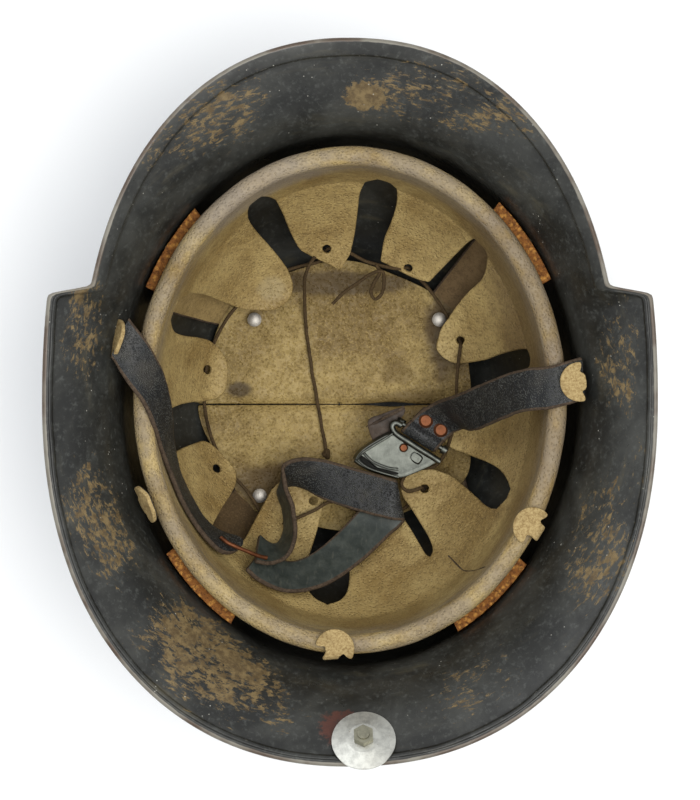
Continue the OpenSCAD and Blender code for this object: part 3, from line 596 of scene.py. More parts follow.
# Patches on the crown pad: the dark band along the front edge under the finger tips and the dark patch on the
# right side are painted shade; the others are stains.
PAD_STAINS_AND_SHADE = [
    ((-51, 5, 22), (8, 5, 20), 0.85, (0.05, 0.032, 0.014)),
    ((44, 32, 24), (13, 30, 24), 0.85, (0.06, 0.036, 0.016)),
    ((-5, 54, 24), (48, 7, 24), 0.8, (0.07, 0.045, 0.018)),
    ((-25, -37, 22), (30, 12, 24), 0.75, (0.1, 0.06, 0.02)),
    ((-44, -40, 24), (14, 12, 24), 0.55, (0.09, 0.06, 0.025)),
    ((26, -2, 22), (26, 9, 24), 0.6, (0.11, 0.068, 0.02)),
    ((22, 12, 22), (12, 7, 24), 0.5, (0.11, 0.068, 0.02))]
TAN = leather_material("tan_leather", (0.41, 0.305, 0.125), (0.22, 0.145, 0.048), GREASE, 620, 760,
                       BAND_STAINS_AND_SHADE)
PAD_TAN = leather_material("pad_leather", (0.36, 0.262, 0.095), (0.17, 0.112, 0.034), None, 700, 640,
                           PAD_STAINS_AND_SHADE)
# a lighter copy of the strap leather for the front-left strap: painted light
LIT_OLIVE = leather_material("lit_olive_leather", (0.3, 0.215, 0.09), (0.19, 0.125, 0.045))
BROWN = leather_material("brown_leather", (0.16, 0.105, 0.05), (0.08, 0.05, 0.022))
DARK_BROWN = leather_material("dark_brown_leather", (0.055, 0.034, 0.02), (0.022, 0.014, 0.009))
GRAIN = strap_material("strap_grain", True)
BACK = strap_material("strap_back", False)
EDGE = fibre_material("strap_edge", (0.085, 0.06, 0.04), (0.03, 0.02, 0.013))
SUEDE = fibre_material("suede", (0.4, 0.3, 0.14), (0.2, 0.13, 0.05), 900)
SUEDE_BACK = fibre_material("suede_back", (0.06, 0.052, 0.04), (0.028, 0.024, 0.02), 700)
CORK = cork_material()
ZINC = metal_material("zinc", (0.1, 0.106, 0.094), 0.4, 0.2, (0.06, 0.055, 0.04), 1.6)
BRIGHT = metal_material("bright_steel", (0.6, 0.6, 0.55), 0.4, 0.3, (0.2, 0.13, 0.07), 0.6)
IRON = metal_material("tarnished_iron", (0.3, 0.29, 0.22), 0.5, 0.45, (0.13, 0.1, 0.05))
SILVER = metal_material("rivet_silver", (0.6, 0.57, 0.52), 0.6, 0.45, (0.22, 0.17, 0.12), 1.5)
# near-black for the sheets in the clasp's slot and under its tab: painted shade
SHADE_BLACK = fibre_material("clasp_painted_shade", (0.012, 0.012, 0.01), (0.006, 0.006, 0.005))
COPPER = metal_material("copper", (0.2, 0.078, 0.038), 0.6, 0.3, (0.09, 0.04, 0.025))


# ---------------------------------------------------------------- shell
def meridians(t, samples=260):
    """The shell's outer surface from the crown to the edge: radius and height, one row per angle."""
    brow_a, brow_b, brow_z, power = 99.5, 115.5, 108, 2.3
    u = np.linspace(0, 1, samples)[None, :]
    t = t[:, None]
    share = 0.62
    bowl_q = np.clip(u / share, 0, 1)
    r0 = oval(brow_a, brow_b, 2, t)
    bowl_r = r0 * np.sin(bowl_q * math.pi / 2) ** (2 / power)
    bowl_z = np.maximum(0, brow_z * (1 - np.cos(bowl_q * math.pi / 2) ** (2 / power)) - 1)
    q = np.clip((u - share) / (1 - share), 0, 1)
    p = 1 - q
    r1, z1, z0 = rim_radius(t), rim_height(t), brow_z - 1
    brim_r = p ** 3 * r0 + 3 * p * p * q * r0 + 3 * p * q * q * (r0 + 0.42 * (r1 - r0)) + q ** 3 * r1
    brim_z = p ** 3 * z0 + 3 * p * p * q * (z0 + 14) + 3 * p * q * q * (z1 - 9) + q ** 3 * z1
    return np.where(u < share, bowl_r, brim_r), np.where(u < share, bowl_z, brim_z)


def rim_table():
    """Radius of the rim by the forward angle in degrees, with the step between visor and side brim."""
    a = np.linspace(-90, 90, 3601)
    t = np.radians(a)
    side = oval(129, 198.25, 2.2, t) * (a > 0) + oval(129, 152.5, 2.2, t) * (a <= 0)
    visor = oval(113, 152.5, 2.2, t)
    start, end = 19.4, 23.8

    def rim_point(radii, forward):
        turn = math.radians(forward)
        return radii[np.searchsorted(a, forward)] * np.array([math.cos(turn), math.sin(turn)])

    x0, y0 = rim_point(side, start)
    x1, y1 = rim_point(visor, end)
    step = (x0 * (y1 - y0) - y0 * (x1 - x0)) / (np.cos(t) * (y1 - y0) - np.sin(t) * (x1 - x0))
    r = np.where(a < start, side, np.where(a > end, visor, step))
    kernel = np.exp(-0.5 * (np.arange(-30, 31) * 0.05 / 0.45) ** 2)
    padded = np.pad(r, 30, mode="edge")
    return a, np.convolve(padded, kernel / kernel.sum(), "valid")


RIM_ANGLES, RIM_RADII = rim_table()


def rim_radius(t):
    return np.interp(np.degrees(np.arcsin(np.clip(np.sin(t), -1, 1))), RIM_ANGLES, RIM_RADII)


def rim_height(t):
    s = np.sin(t)
    return 150 + np.where(s > 0, -7, 7) * s * s


def build_shell():
    cols = 600
    t = np.linspace(0, 2 * math.pi, cols, endpoint=False)
    forward = np.degrees(np.arcsin(np.sin(t)))
    hem = 4.2 + 3.2 / (1 + np.exp(-(forward - 23) / 0.8))
    hem += np.array([0.35 * noise.noise(Vector((9 * math.cos(a), 9 * math.sin(a), 4))) for a in t])
    r, z = meridians(t)
    runs = np.hypot(np.diff(r, axis=1), np.diff(z, axis=1))
    length = np.concatenate([np.zeros((cols, 1)), np.cumsum(runs, axis=1)], axis=1)
    total = length[:, -1]
    far = 1 - np.cos(np.linspace(0.25, math.pi / 2, 44))
    far = (far - far[0]) / (far[-1] - far[0])
    edge_r = 1.25
    rows = []
    for f in far[::-1]:
        rows.append((14 + f * (total - 14.6), 0, 0))
    for d in (10, 7, 4.5, 2.6, 1.6):
        rows.append((d + 0 * total, 0, 0.05))
    for a in np.radians([75, 50, 25, 0, -25, -50, -75]):
        rows.append((edge_r * (1 - math.cos(a)) + 0 * total, edge_r * (1 - math.sin(a)), 1))
    for d in (1.6, 2.6):
        rows.append((d + 0 * total, 2.5, 0.12))
    rows.append((0.5 * hem, 2.55, 0.05))
    hem_end = ((-1.2, 2.5, 0.1), (-0.5, 2.45, 0.4), (-0.1, 2.2, 0.4), (0.15, 1.75, 0.1), (0.4, 1.4, 0),
               (0.9, 1.22, 0), (2.2, 1.2, 0))
    for back, depth, edge in hem_end:
        rows.append((hem + back, depth, edge))
    rows.append((11.5 + 0 * total, 1.2, 0))
    for f in far:
        rows.append((14 + f * (total - 14.6), 1.2, 0))

    def on_section(at):
        """The surface's points at a distance along it, one per column."""
        return np.array([[np.interp(x, length[j], r[j]), np.interp(x, length[j], z[j])]
                         for j, x in enumerate(at)])

    normal_step = 0.4
    points, wear = [], []
    ct, st = np.cos(t), np.sin(t)
    for d, depth, edge in rows:
        at = total - d
        p = on_section(at)
        tangent = unit(on_section(at + normal_step) - on_section(at - normal_step))
        p = p + np.asarray(depth) * np.column_stack([-tangent[:, 1], tangent[:, 0]])
        rr = np.maximum(p[:, 0], 0.4)
        for j in range(cols):
            point = (rr[j] * ct[j], rr[j] * st[j], p[j, 1])
            dent = 0.45 * rough(point, 55, 2.0) + 0.12 * rough(point, 17, 4.0)
            dent *= min(1, rr[j] / 60)
            points.append((point[0] - tangent[j, 1] * dent * ct[j], point[1] - tangent[j, 1] * dent * st[j],
                           max(0 if depth == 0 else 1.2, point[2] + tangent[j, 0] * dent)))
            wear.append(edge)
    n = len(rows)
    faces = grid(n, cols, closed=True)
    points += [(0, 0, 0), (0, 0, 1.2)]
    wear += [0, 0]
    faces += [(n * cols, (j + 1) % cols, j) for j in range(cols)]
    faces += [(n * cols + 1, (n - 1) * cols + j, (n - 1) * cols + (j + 1) % cols) for j in range(cols)]
    shell = make("shell_steel", points, faces, [PAINT])
    layer = shell.data.attributes.new("edge_wear", "FLOAT", "POINT")
    layer.data.foreach_set("value", wear)
    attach(shell, "root")
    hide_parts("shell")


# ---------------------------------------------------------------- sweatband with its ten fingers
# The leather's middle as steps inwards: position, distance in from the liner's edge, height
BAND_AT = [-1.3, -1, -0.64, -0.3, 0]
BAND_IN = [7.6, 8.2, 8.8, 9.8, 11.5]
FALL_AT = [-1.3, -1, -0.64, -0.3, 0, 0.22, 0.45, 0.72, 1, 1.25, 1.6, 1.9]
FALL_Z = [117.7, 108, 96, 84, 75, 63, 53, 43, 36, 33.2, 31.6, 31]
FINE = np.linspace(-1.3, 1.9, 500)


def softened(values, width):
    kernel = np.exp(-0.5 * (np.arange(-width, width + 1) / (0.5 * width)) ** 2)
    padded = np.pad(values, width, mode="reflect", reflect_type="odd")
    return np.convolve(padded, kernel / kernel.sum(), "valid")


FINE_Z = softened(np.interp(FINE, FALL_AT, FALL_Z), 18)
FINE_IN = softened(np.interp(FINE, BAND_AT, BAND_IN), 12)
# Each slot: angle and depth of its outer end, then its anticlockwise and its clockwise side, down to the
# tips. The points of SLOTS, TIPS and HOLES were picked by hand in the photograph, and a helper turned them
# into angle and depth.
SLOTS = [
    ((13.2, -0.07), [(14.4, -0.05), (16, 0.04), (16.6, 0.2), (16.8, 0.45), (16.4, 0.66), (17, 0.88),
                      (17.7, 1.04)],
     [(11.1, 0.01), (8.6, 0.12), (6.6, 0.36), (4.3, 0.68), (2.5, 0.93), (0.3, 1.15)]),
    ((51.8, -0.06), [(53, 0.08), (53.8, 0.28), (54.8, 0.55), (56.1, 0.84)],
     [(49.8, -0.18), (47.6, -0.1), (45.9, 0.03), (44, 0.12), (42.4, 0.28), (42.5, 0.5), (41.6, 0.75),
      (40, 0.96), (37.9, 1.18), (32.7, 1.36)]),
    ((82.4, -0.27), [(84.9, -0.09), (86.4, 0.05), (87.3, 0.17), (87.6, 0.36), (88.4, 0.66), (89.8, 0.91)],
     [(80.2, -0.25), (78.6, -0.1), (77.3, 0.05), (76.7, 0.2), (77.1, 0.42), (78.1, 0.65), (77.7, 0.92)]),
    ((114.1, -0.78), [(116.4, -0.72), (117.8, -0.5), (118.9, -0.13), (119.3, 0.1), (118.7, 0.3),
                      (117.5, 0.54), (116.3, 0.78), (115.4, 0.99)],
     [(112.2, -0.42), (110.5, 0), (109.9, 0.23), (109.7, 0.45), (109, 0.7), (108, 0.8)]),
    ((155.4, -0.67), [(157.2, -0.41), (158.7, -0.1), (158.8, 0.2), (157.6, 0.56), (157, 0.84), (157.5, 1.01)],
     [(153.5, -0.72), (151.7, -0.65), (149.8, -0.45), (148, -0.2), (146.3, 0.02), (144.6, 0.22), (142.9, 0.6),
      (141, 0.98)]),
    ((189.1, -0.85), [(192.6, -0.8), (195.3, -0.5), (196.4, 0), (195.8, 0.31), (195.3, 0.75)],
     [(185.8, -0.8), (183.8, -0.5), (183, 0), (181.6, 0.33), (180.6, 0.77)]),
    ((229.1, 0.04), [(231.6, 0.16), (232.6, 0.3), (232.7, 0.46), (232, 0.62), (230.5, 0.95), (228.7, 1.29)],
     [(226.2, 0.02), (223.8, 0.07), (222.4, 0.18), (221.3, 0.32), (220, 0.5), (219.1, 0.65)]),
    ((263.7, 0.14), [(266.4, 0.17), (268.6, 0.25), (269.6, 0.38), (269.8, 0.6), (271.6, 0.82), (274.6, 0.95),
                     (277.4, 1.05)],
     [(260.6, 0.16), (257.7, 0.24), (256, 0.38), (255.3, 0.55), (255.6, 0.75), (255.9, 0.97), (255.8, 1.33)]),
    ((297.2, 0.38), [(298.5, 0.4), (299.4, 0.47), (299.8, 0.6), (299.6, 0.8), (299.3, 0.97), (298.5, 1.11)],
     [(296.3, 0.42), (295.9, 0.55), (295.3, 0.75), (294.3, 0.93), (293.1, 1.1)]),
    ((330.9, 0.09), [(333.2, 0.18), (335, 0.33), (335.6, 0.5), (335.3, 0.7), (335, 0.9), (334.4, 1.06),
                      (335.2, 1.19)],
     [(327.8, 0.06), (325.1, 0.1), (323, 0.17), (322.2, 0.3), (322.6, 0.46), (323.2, 0.76), (322.9, 0.95),
      (319.7, 1.2)])]
# The tips between them, from each slot's anticlockwise side to the next slot's clockwise side
TIPS = [
    [(19.3, 1.2), (23.7, 1.34), (29.5, 1.4)],
    [(60.2, 0.9), (63.9, 0.93), (67.3, 0.94), (71.7, 0.94)],
    [(91.9, 1.02), (94.2, 1.13), (98.6, 1.06), (104, 0.94)],
    [(115.1, 1.15), (116.7, 1.31), (120.1, 1.46), (125.1, 1.56), (131.3, 1.56), (135.9, 1.4), (139.1, 1.21)],
    [(159.3, 1.31), (162.7, 1.55), (168.1, 1.7), (174.2, 1.7), (178.9, 1.5), (180.2, 1.18)],
    [(197.8, 0.95), (204.6, 1.1), (211, 1.13), (215, 1.02), (217.5, 0.85)],
    [(228.8, 1.46), (232.7, 1.58), (238.6, 1.64), (247.8, 1.58), (254.1, 1.46)],
    [(279.9, 1.12), (284.3, 1.14), (289.9, 1.14)],
    [(298.6, 1.19), (301.8, 1.3), (305.2, 1.36), (310.6, 1.37), (316.3, 1.31)],
    [(339.5, 1.32), (348.3, 1.37), (355.9, 1.25)]]
HOLES = [(28.3, 0.98), (66.2, 0.85), (98.8, 0.84), None, (168, 1.03), (207.2, 0.81), (250, 1.3), (282.4, 1),
         (310.1, 1.05), (346.8, 1.19)]
# How far each finger's tip stands up or down from the common bowl, mm
TIP_LIFT = [0.6, 0.8, 1.0, -0.6, -0.5, 0.6, 0.2, 1.2, 1.4, 0.6]


def leather_at(t, w):
    """The sweatband's middle surface by angle in degrees and depth."""
    a = np.radians(t)
    edge = oval(LINER_A, LINER_B, 2, a)
    wall = edge - 11.5
    share = np.clip(w, 0, 2)
    inner = wall - share * (wall - gather_r(a))
    r = np.where(w <= 0, edge - np.interp(w, FINE, FINE_IN), inner)
    return np.stack([r * np.cos(a), r * np.sin(a), np.interp(w, FINE, FINE_Z)], axis=-1)


def resample(points, count):
    p = spline(points, 10 * len(points))
    scale = np.array([1.35, 33.0])
    along = np.r_[0, np.cumsum(np.linalg.norm(np.diff(p * scale, axis=0), axis=1))]
    share = np.linspace(0, 1, count) ** 1.15
    return np.column_stack([np.interp(share * along[-1], along, p[:, k]) for k in range(2)])


# Each finger's sheet runs from the top of the band down to its tip
BAND_TOP, BAND_ROWS, SIDE_ROWS, FINGER_COLS = -1.12, 14, 62, 25
ACROSS = np.linspace(0, 1, FINGER_COLS)


def finger_sheet(i):
    """Angle and depth of a finger and the band above it: a row for each step down, a column across."""
    turn = 360 if i == 9 else 0
    end, left_side, _ = SLOTS[i]
    next_end, _, next_side = SLOTS[(i + 1) % 10]
    right_side = [(a + turn, w) for a, w in next_side]
    sides = []
    for (angle, depth), side in ((end, left_side), ((next_end[0] + turn, next_end[1]), right_side)):
        down = [(angle, BAND_TOP + (depth - BAND_TOP) * k / BAND_ROWS) for k in range(BAND_ROWS)]
        sides.append(np.vstack([down, resample([(angle, depth)] + side, SIDE_ROWS)]))
    left, right = sides
    tip_points = [(a + (turn if a < 180 else 0), w) for a, w in TIPS[i]]
    tip = spline([tuple(left[-1])] + tip_points + [tuple(right[-1])], FINGER_COLS)
    start = np.column_stack([left[0, 0] + ACROSS * (right[0, 0] - left[0, 0]),
                             np.full(FINGER_COLS, BAND_TOP)])
    v = np.linspace(0, 1, BAND_ROWS + SIDE_ROWS)[:, None, None]
    u = ACROSS[None, :, None]
    sheet = ((1 - v) * start[None] + v * tip[None] + (1 - u) * left[:, None] + u * right[:, None]
             - (1 - u) * (1 - v) * left[0] - u * (1 - v) * right[0]
             - (1 - u) * v * left[-1] - u * v * right[-1])
    for _ in range(60):
        sheet[1:-1, 1:-1] = 0.25 * (sheet[:-2, 1:-1] + sheet[2:, 1:-1]
                                    + sheet[1:-1, :-2] + sheet[1:-1, 2:])
    return sheet


def corners_of(squares):
    """The grid points at the corners of the marked squares."""
    rows, cols = squares.shape
    marked = np.zeros((rows + 1, cols + 1), bool)
    for down in (0, 1):
        for over in (0, 1):
            marked[down:rows + down, over:cols + over] |= squares
    return marked


def punch(spot, at):
    """Draws the grid round a lace hole to a circle, and says which of its squares stay."""
    hole = leather_at(np.array(at[0]), np.array(at[1]))
    centre = 0.25 * (spot[:-1, :-1] + spot[1:, :-1] + spot[:-1, 1:] + spot[1:, 1:])
    keep = np.hypot(centre[..., 0] - hole[0], centre[..., 1] - hole[1]) > 1.75
    for row, col in np.argwhere(corners_of(~keep) & corners_of(keep)):
        away = spot[row, col, :2] - hole[:2]
        spot[row, col, :2] = hole[:2] + away * (2.0 / max(0.3, np.hypot(*away)))
    return keep


def build_sweatband():
    rows, cols = BAND_ROWS + SIDE_ROWS, FINGER_COLS
    points, faces = [], []
    for i in range(10):
        sheet = finger_sheet(i)
        spot = leather_at(sheet[..., 0], sheet[..., 1])
        depth = np.clip(sheet[..., 1], 0, 1.6)
        edge_curl = (2 * np.abs(ACROSS - 0.5))[None, :] ** 4 * 0.5 * np.clip(depth, 0, 1)
        spot[..., 2] += TIP_LIFT[i] * depth ** 2 / 1.6 + edge_curl
        keep = np.ones((rows - 1, cols - 1), bool) if HOLES[i] is None else punch(spot, HOLES[i])
        base = len(points)
        points += spot.reshape(-1, 3).tolist()
        for a in range(rows - 1):
            for b in range(cols - 1):
                if keep[a, b]:
                    k = base + a * cols + b
                    faces.append((k, k + 1, k + cols + 1, k + cols))
    # the roll and the outside, above the fingers
    profile = [(7.75, 114.3), (7.6, 117.7)]
    profile += [(ROLL_R - 3.3 * math.cos(math.pi - a), LINER_Z - ROLL_R + 3.3 * math.sin(a))
                for a in np.radians(np.linspace(18, 162, 10))]
    profile += [(1, 117.7), (1, 113), (1, 107), (1, 98)]
    ring_cols = []
    for i in range(10):
        end, next_end = SLOTS[i][0][0], SLOTS[(i + 1) % 10][0][0] + (360 if i == 9 else 0)
        ring_cols += [end + (next_end - end) * k / (cols - 1) for k in range(cols - 1)]
    ring = np.radians(np.array(ring_cols))
    first = leather_at(np.array(ring_cols), np.full(len(ring_cols), BAND_TOP))
    base = len(points)
    points += first.tolist()
    for inset, height in profile:
        edge = oval(LINER_A, LINER_B, 2, ring) - inset
        for j, a in enumerate(ring):
            points.append((edge[j] * math.cos(a), edge[j] * math.sin(a), height))
    faces += [f[::-1] for f in grid(len(profile) + 1, len(ring), closed=True, start=base)]
    points = np.array(points)
    for k, p in enumerate(points):
        soft = 0.45 * rough(p, 14, 1.0) + 0.16 * rough(p, 5, 2.0)
        outward = p[:2] / max(1, np.hypot(*p[:2]))
        if p[2] > 100:
            pucker = 0.25 * rough((9 * math.atan2(p[1], p[0]) * 10, 0, p[2] / 3), 5, 3)
            points[k, :2] -= 0.45 * outward * (soft + pucker)
            points[k, 2] -= 0.35 * abs(soft)
        else:
            points[k, 2] += soft
    band = make("sweatband_leather", points, faces, [TAN])
    weld = band.modifiers.new("weld", "WELD")
    weld.merge_threshold = 0.00002
    thick = band.modifiers.new("thickness", "SOLIDIFY")
    thick.thickness = 0.0019
    thick.offset = 0
    subdivide(band)
    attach(band, "root")
    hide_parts("sweatband")


def build_butt_seam():
    """The line where the ends of the leather meet, at the rear right."""
    angles = np.linspace(302.3, 309, 24)
    line = leather_at(angles, np.linspace(0.24, -1.02, 24))
    out = line[:, :2] / np.linalg.norm(line[:, :2], axis=1, keepdims=True)
    line[:, :2] -= 0.75 * out
    line[:, 2] += 0.5
    seam, _ = lace("sweatband_butt_seam", [tuple(p) for p in line], 0.7, EDGE, 50, wobble=0.2)
    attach(seam, "root")


# ---------------------------------------------------------------- crown pad
PAD_CENTRE = np.array([-5.0, 2.0])
RIVETS = [(-44, 37), (41, 37), (-41.5, -44), (41, -36)]


def pad_edge(phi):
    """Radius of the pad's outline round its seam's middle, with a lobe at each rivet."""
    r = 4 * np.sin(phi) + np.sqrt(62.5 ** 2 - 16 * np.cos(phi) ** 2)
    for x, y in RIVETS:
        at = math.atan2(y + 2, x + 5)
        away = np.abs((phi - at + math.pi) % (2 * math.pi) - math.pi)
        r = r + 3.2 * np.exp(-(away / 0.2) ** 2) - 1.4 * np.exp(-((away - 0.5) / 0.2) ** 2)
    for at, out, wide in ((math.radians(-27), 5, 0.2), (math.pi, 3, 0.5)):
        away = np.abs((phi - at + math.pi) % (2 * math.pi) - math.pi)
        r = r + out * np.exp(-(away / wide) ** 2)
    return r


def under_pad(x, y):
    """Height of the shallow bowl that the pad and its straps follow."""
    return 18 + 11 * (np.hypot(x + 5, y - 2) / 62) ** 2


def build_pad(front):
    rows, cols = 46, 96
    turn = 0 if front else math.pi
    phi = turn + np.linspace(0, math.pi, cols)
    share = np.linspace(0, 1, rows) ** 0.9
    share[0] = 0.004
    r = pad_edge(phi)[None, :] * share[:, None]
    x, y = -5 + r * np.cos(phi), -2 + r * np.sin(phi)
    gap = 0.2 + 0.8 * np.exp(-((x - 19) / 8) ** 2) * np.exp(-((y + 2) / 3) ** 2)
    y = y + (gap if front else -gap)
    z = pad_top(x, y)
    top = np.stack([x, y, z], axis=-1)
    wrinkle = np.zeros_like(z)
    for i in range(rows):
        for j in range(cols):
            p = top[i, j]
            d = math.hypot(p[0] + 5, p[1] - 2) / 62
            radial = math.atan2(p[1], p[0] + 5)
            folds = noise.noise(Vector((6.5 * math.cos(radial), 6.5 * math.sin(radial), 2.2 * d)))
            near_edge = max(0, min(1, (d - 0.5) / 0.2)) * max(0, min(1, (1.02 - d) / 0.15))
            wrinkle[i, j] = 0.6 * rough(p, 15, 6.0) + 0.3 * rough(p, 5, 8.0) + 1.7 * folds * near_edge
    top[..., 2] += wrinkle
    bottom = top.copy()
    bottom[..., 2] = under_pad(x, y) - 3.9
    rim_drop = np.clip((share - 0.93) / 0.07, 0, 1)[:, None] ** 2 * 0.5
    top[..., 2] -= rim_drop
    points = top.reshape(-1, 3).tolist() + bottom.reshape(-1, 3).tolist()
    n = rows * cols
    faces = grid(rows, cols)
    faces += [tuple(k + n for k in f[::-1]) for f in grid(rows, cols)]
    for j in range(cols - 1):
        a = (rows - 1) * cols + j
        faces.append((a, a + 1, a + 1 + n, a + n))
        faces.append((j + 1, j, j + n, j + 1 + n))
    for i in range(rows - 1):
        a, b = i * cols, (i + 1) * cols
        faces.append((a, b, b + n, a + n))
        a, b = a + cols - 1, b + cols - 1
        faces.append((b, a, a + n, b + n))
    name = "crown_pad_front_leather" if front else "crown_pad_rear_leather"
    pad = make(name, points, [f[::-1] for f in faces], [PAD_TAN])
    subdivide(pad)
    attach(pad, "root")
    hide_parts("crown_pad_front" if front else "crown_pad_rear")


def build_suspension():
    angles = [148, 46, 227, 303]
    names = ["front_left", "front_right", "rear_left", "rear_right"]
    for (x, y), t, name in zip(RIVETS, angles, names):
        a = math.radians(t)
        out = np.array([math.cos(a), math.sin(a)])
        p = np.array([x, y], float)
        tail = p - 7 * out
        rim = p + out * (64 - np.hypot(*(p - PAD_CENTRE)))
        band = out * (oval(LINER_A, LINER_B, 2, a) - 3.6)
        rows = [(*tail, under_pad(*tail) - 4.8, t + 90, 0), (*p, under_pad(*p) - 4.8, t + 90, 0),
                (*rim, 24.2, t + 90, 0)]
        for share, height in ((0.3, 34), (0.6, 48), (0.85, 68), (1, 83)):
            q = rim + share * (band - rim)
            rows.append((*q, height, t + 90, 0))
        # The front-left strap takes the lighter olive copy of the strap leather and the other three the
        # darker brown: painted light on the lit strap, painted shade on the others.
        look = LIT_OLIVE if name == "front_left" else BROWN
        strap = ribbon("suspension_" + name + "_leather", rows, 22, 1.6, 60, [look, look, EDGE], wave=0.3)
        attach(strap, "root")
        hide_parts("suspension_" + name)


# ---------------------------------------------------------------- corks
def build_corks():
    names = ["front_left", "front_right", "rear_left", "rear_right"]
    for name, t in zip(names, (140, 42, 231, 306)):
        cols, rows, deep = 60, 22, 7
        points = []
        a = np.radians(np.linspace(t - 11, t + 11, cols))
        inner = oval(LINER_A + 0.3, LINER_B + 0.3, 2, a)
        outer = oval(LINER_A + 4.4, LINER_B + 4.4, 2, a)
        loop = [(k, 0.0) for k in range(cols)] + [(cols - 1, q / deep) for q in range(1, deep)]
        loop += [(k, 1.0) for k in range(cols - 1, -1, -1)] + [(0, 1 - q / deep) for q in range(1, deep)]
        for i in range(rows):
            height = 95 + 18 * i / (rows - 1)
            for k, q in loop:
                r = inner[k] + q * (outer[k] - inner[k])
                p = (r * math.cos(a[k]), r * math.sin(a[k]), height)
                crumb = 0.45 * rough(p, 2.6, t) + 0.35 * rough(p, 1.1, t + 3)
                ends = 1.2 * rough(p, 5, t + 7) if k < 4 or k > cols - 5 else 0
                out = crumb * 0.5 - 0.2
                points.append((p[0] + out * math.cos(a[k]), p[1] + out * math.sin(a[k]),
                               p[2] + (crumb if i == rows - 1 else 0) + 0.3 * ends))
        n = len(loop)
        faces = [f[::-1] for f in grid(rows, n, closed=True)]
        top = len(points)
        # top face: a grid between the inner and outer runs
        for q in range(deep + 1):
            for k in range(cols):
                r = inner[k] + q / deep * (outer[k] - inner[k])
                p = (r * math.cos(a[k]), r * math.sin(a[k]), 113.0)
                crumb = 0.7 * rough(p, 2.4, t) + 0.6 * rough(p, 1.0, t + 3)
                points.append((p[0], p[1], 112.6 + crumb))
        faces += [f[::-1] for f in grid(deep + 1, cols, start=top)]
        faces.append(tuple(range(n)))
        cork = make("cork_" + name + "_block", points, faces, [CORK])
        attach(cork, "root")
        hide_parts("cork_" + name)


# ---------------------------------------------------------------- leather buttons
def mushroom(width):
    """Outline of a button: a half-moon head with two notches and a neck, round side to +X."""
    r = width / 2
    head = [(-2.3 + r * math.cos(a), r * math.sin(a)) for a in np.radians(np.linspace(-98, 98, 27))]
    upper = [(-3.9, r - 0.8), (-3.6, r - 2.6), (-2.7, 4.6), (-3.3, 3.7), (-5.2, 3.6)]
    lower = [(x, -y) for x, y in upper][::-1]
    return head + upper + lower


def build_button(name, body, place, replaced, width=17):
    """place turns a point of the button's own frame, in mm, into the row frame."""
    outline = np.array(mushroom(width))
    centre = np.array([1.0, 0.0])
    rings = [1.0, 0.97, 0.9, 0.72, 0.5, 0.25]
    n = len(outline)
    points, faces = [], []

    def lift(x, y):
        return 0.6 * rough((x, y, 0), 6, len(name)) - 0.008 * (x * x + y * y)

    for side in (1, -1):
        for k, q in enumerate(rings):
            for x, y in outline:
                px, py = centre + (np.array([x, y]) - centre) * q
                ragged = 0.35 * rough((x, y, 3), 1.6, len(name)) if k < 2 else 0
                px, py = px * (1 + 0.03 * ragged), py * (1 + 0.03 * ragged)
                z = side * (0.75 if k == 0 else 1.0) + lift(px, py) + 0.12 * rough((px, py, side), 1.5, 4)
                points.append(place((px, py, z)))
        points.append(place((centre[0], centre[1], side * 1.0 + lift(*centre))))
    m = len(rings) * n + 1
    kinds = []
    for side, base in ((1, 0), (-1, m)):
        ring = grid(len(rings), n, closed=True, start=base)
        hub = base + len(rings) * n
        last = base + (len(rings) - 1) * n
        ring += [(last + j, last + (j + 1) % n, hub) for j in range(n)]
        faces += ring if side > 0 else [f[::-1] for f in ring]
        kinds += [0 if side > 0 else 1] * len(ring)
    faces += [(j, m + j, m + (j + 1) % n, (j + 1) % n) for j in range(n)]
    button = make(name, points, faces, [SUEDE, SUEDE_BACK], kinds + [0] * n)
    subdivide(button)
    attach(button, body)
    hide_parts(replaced)


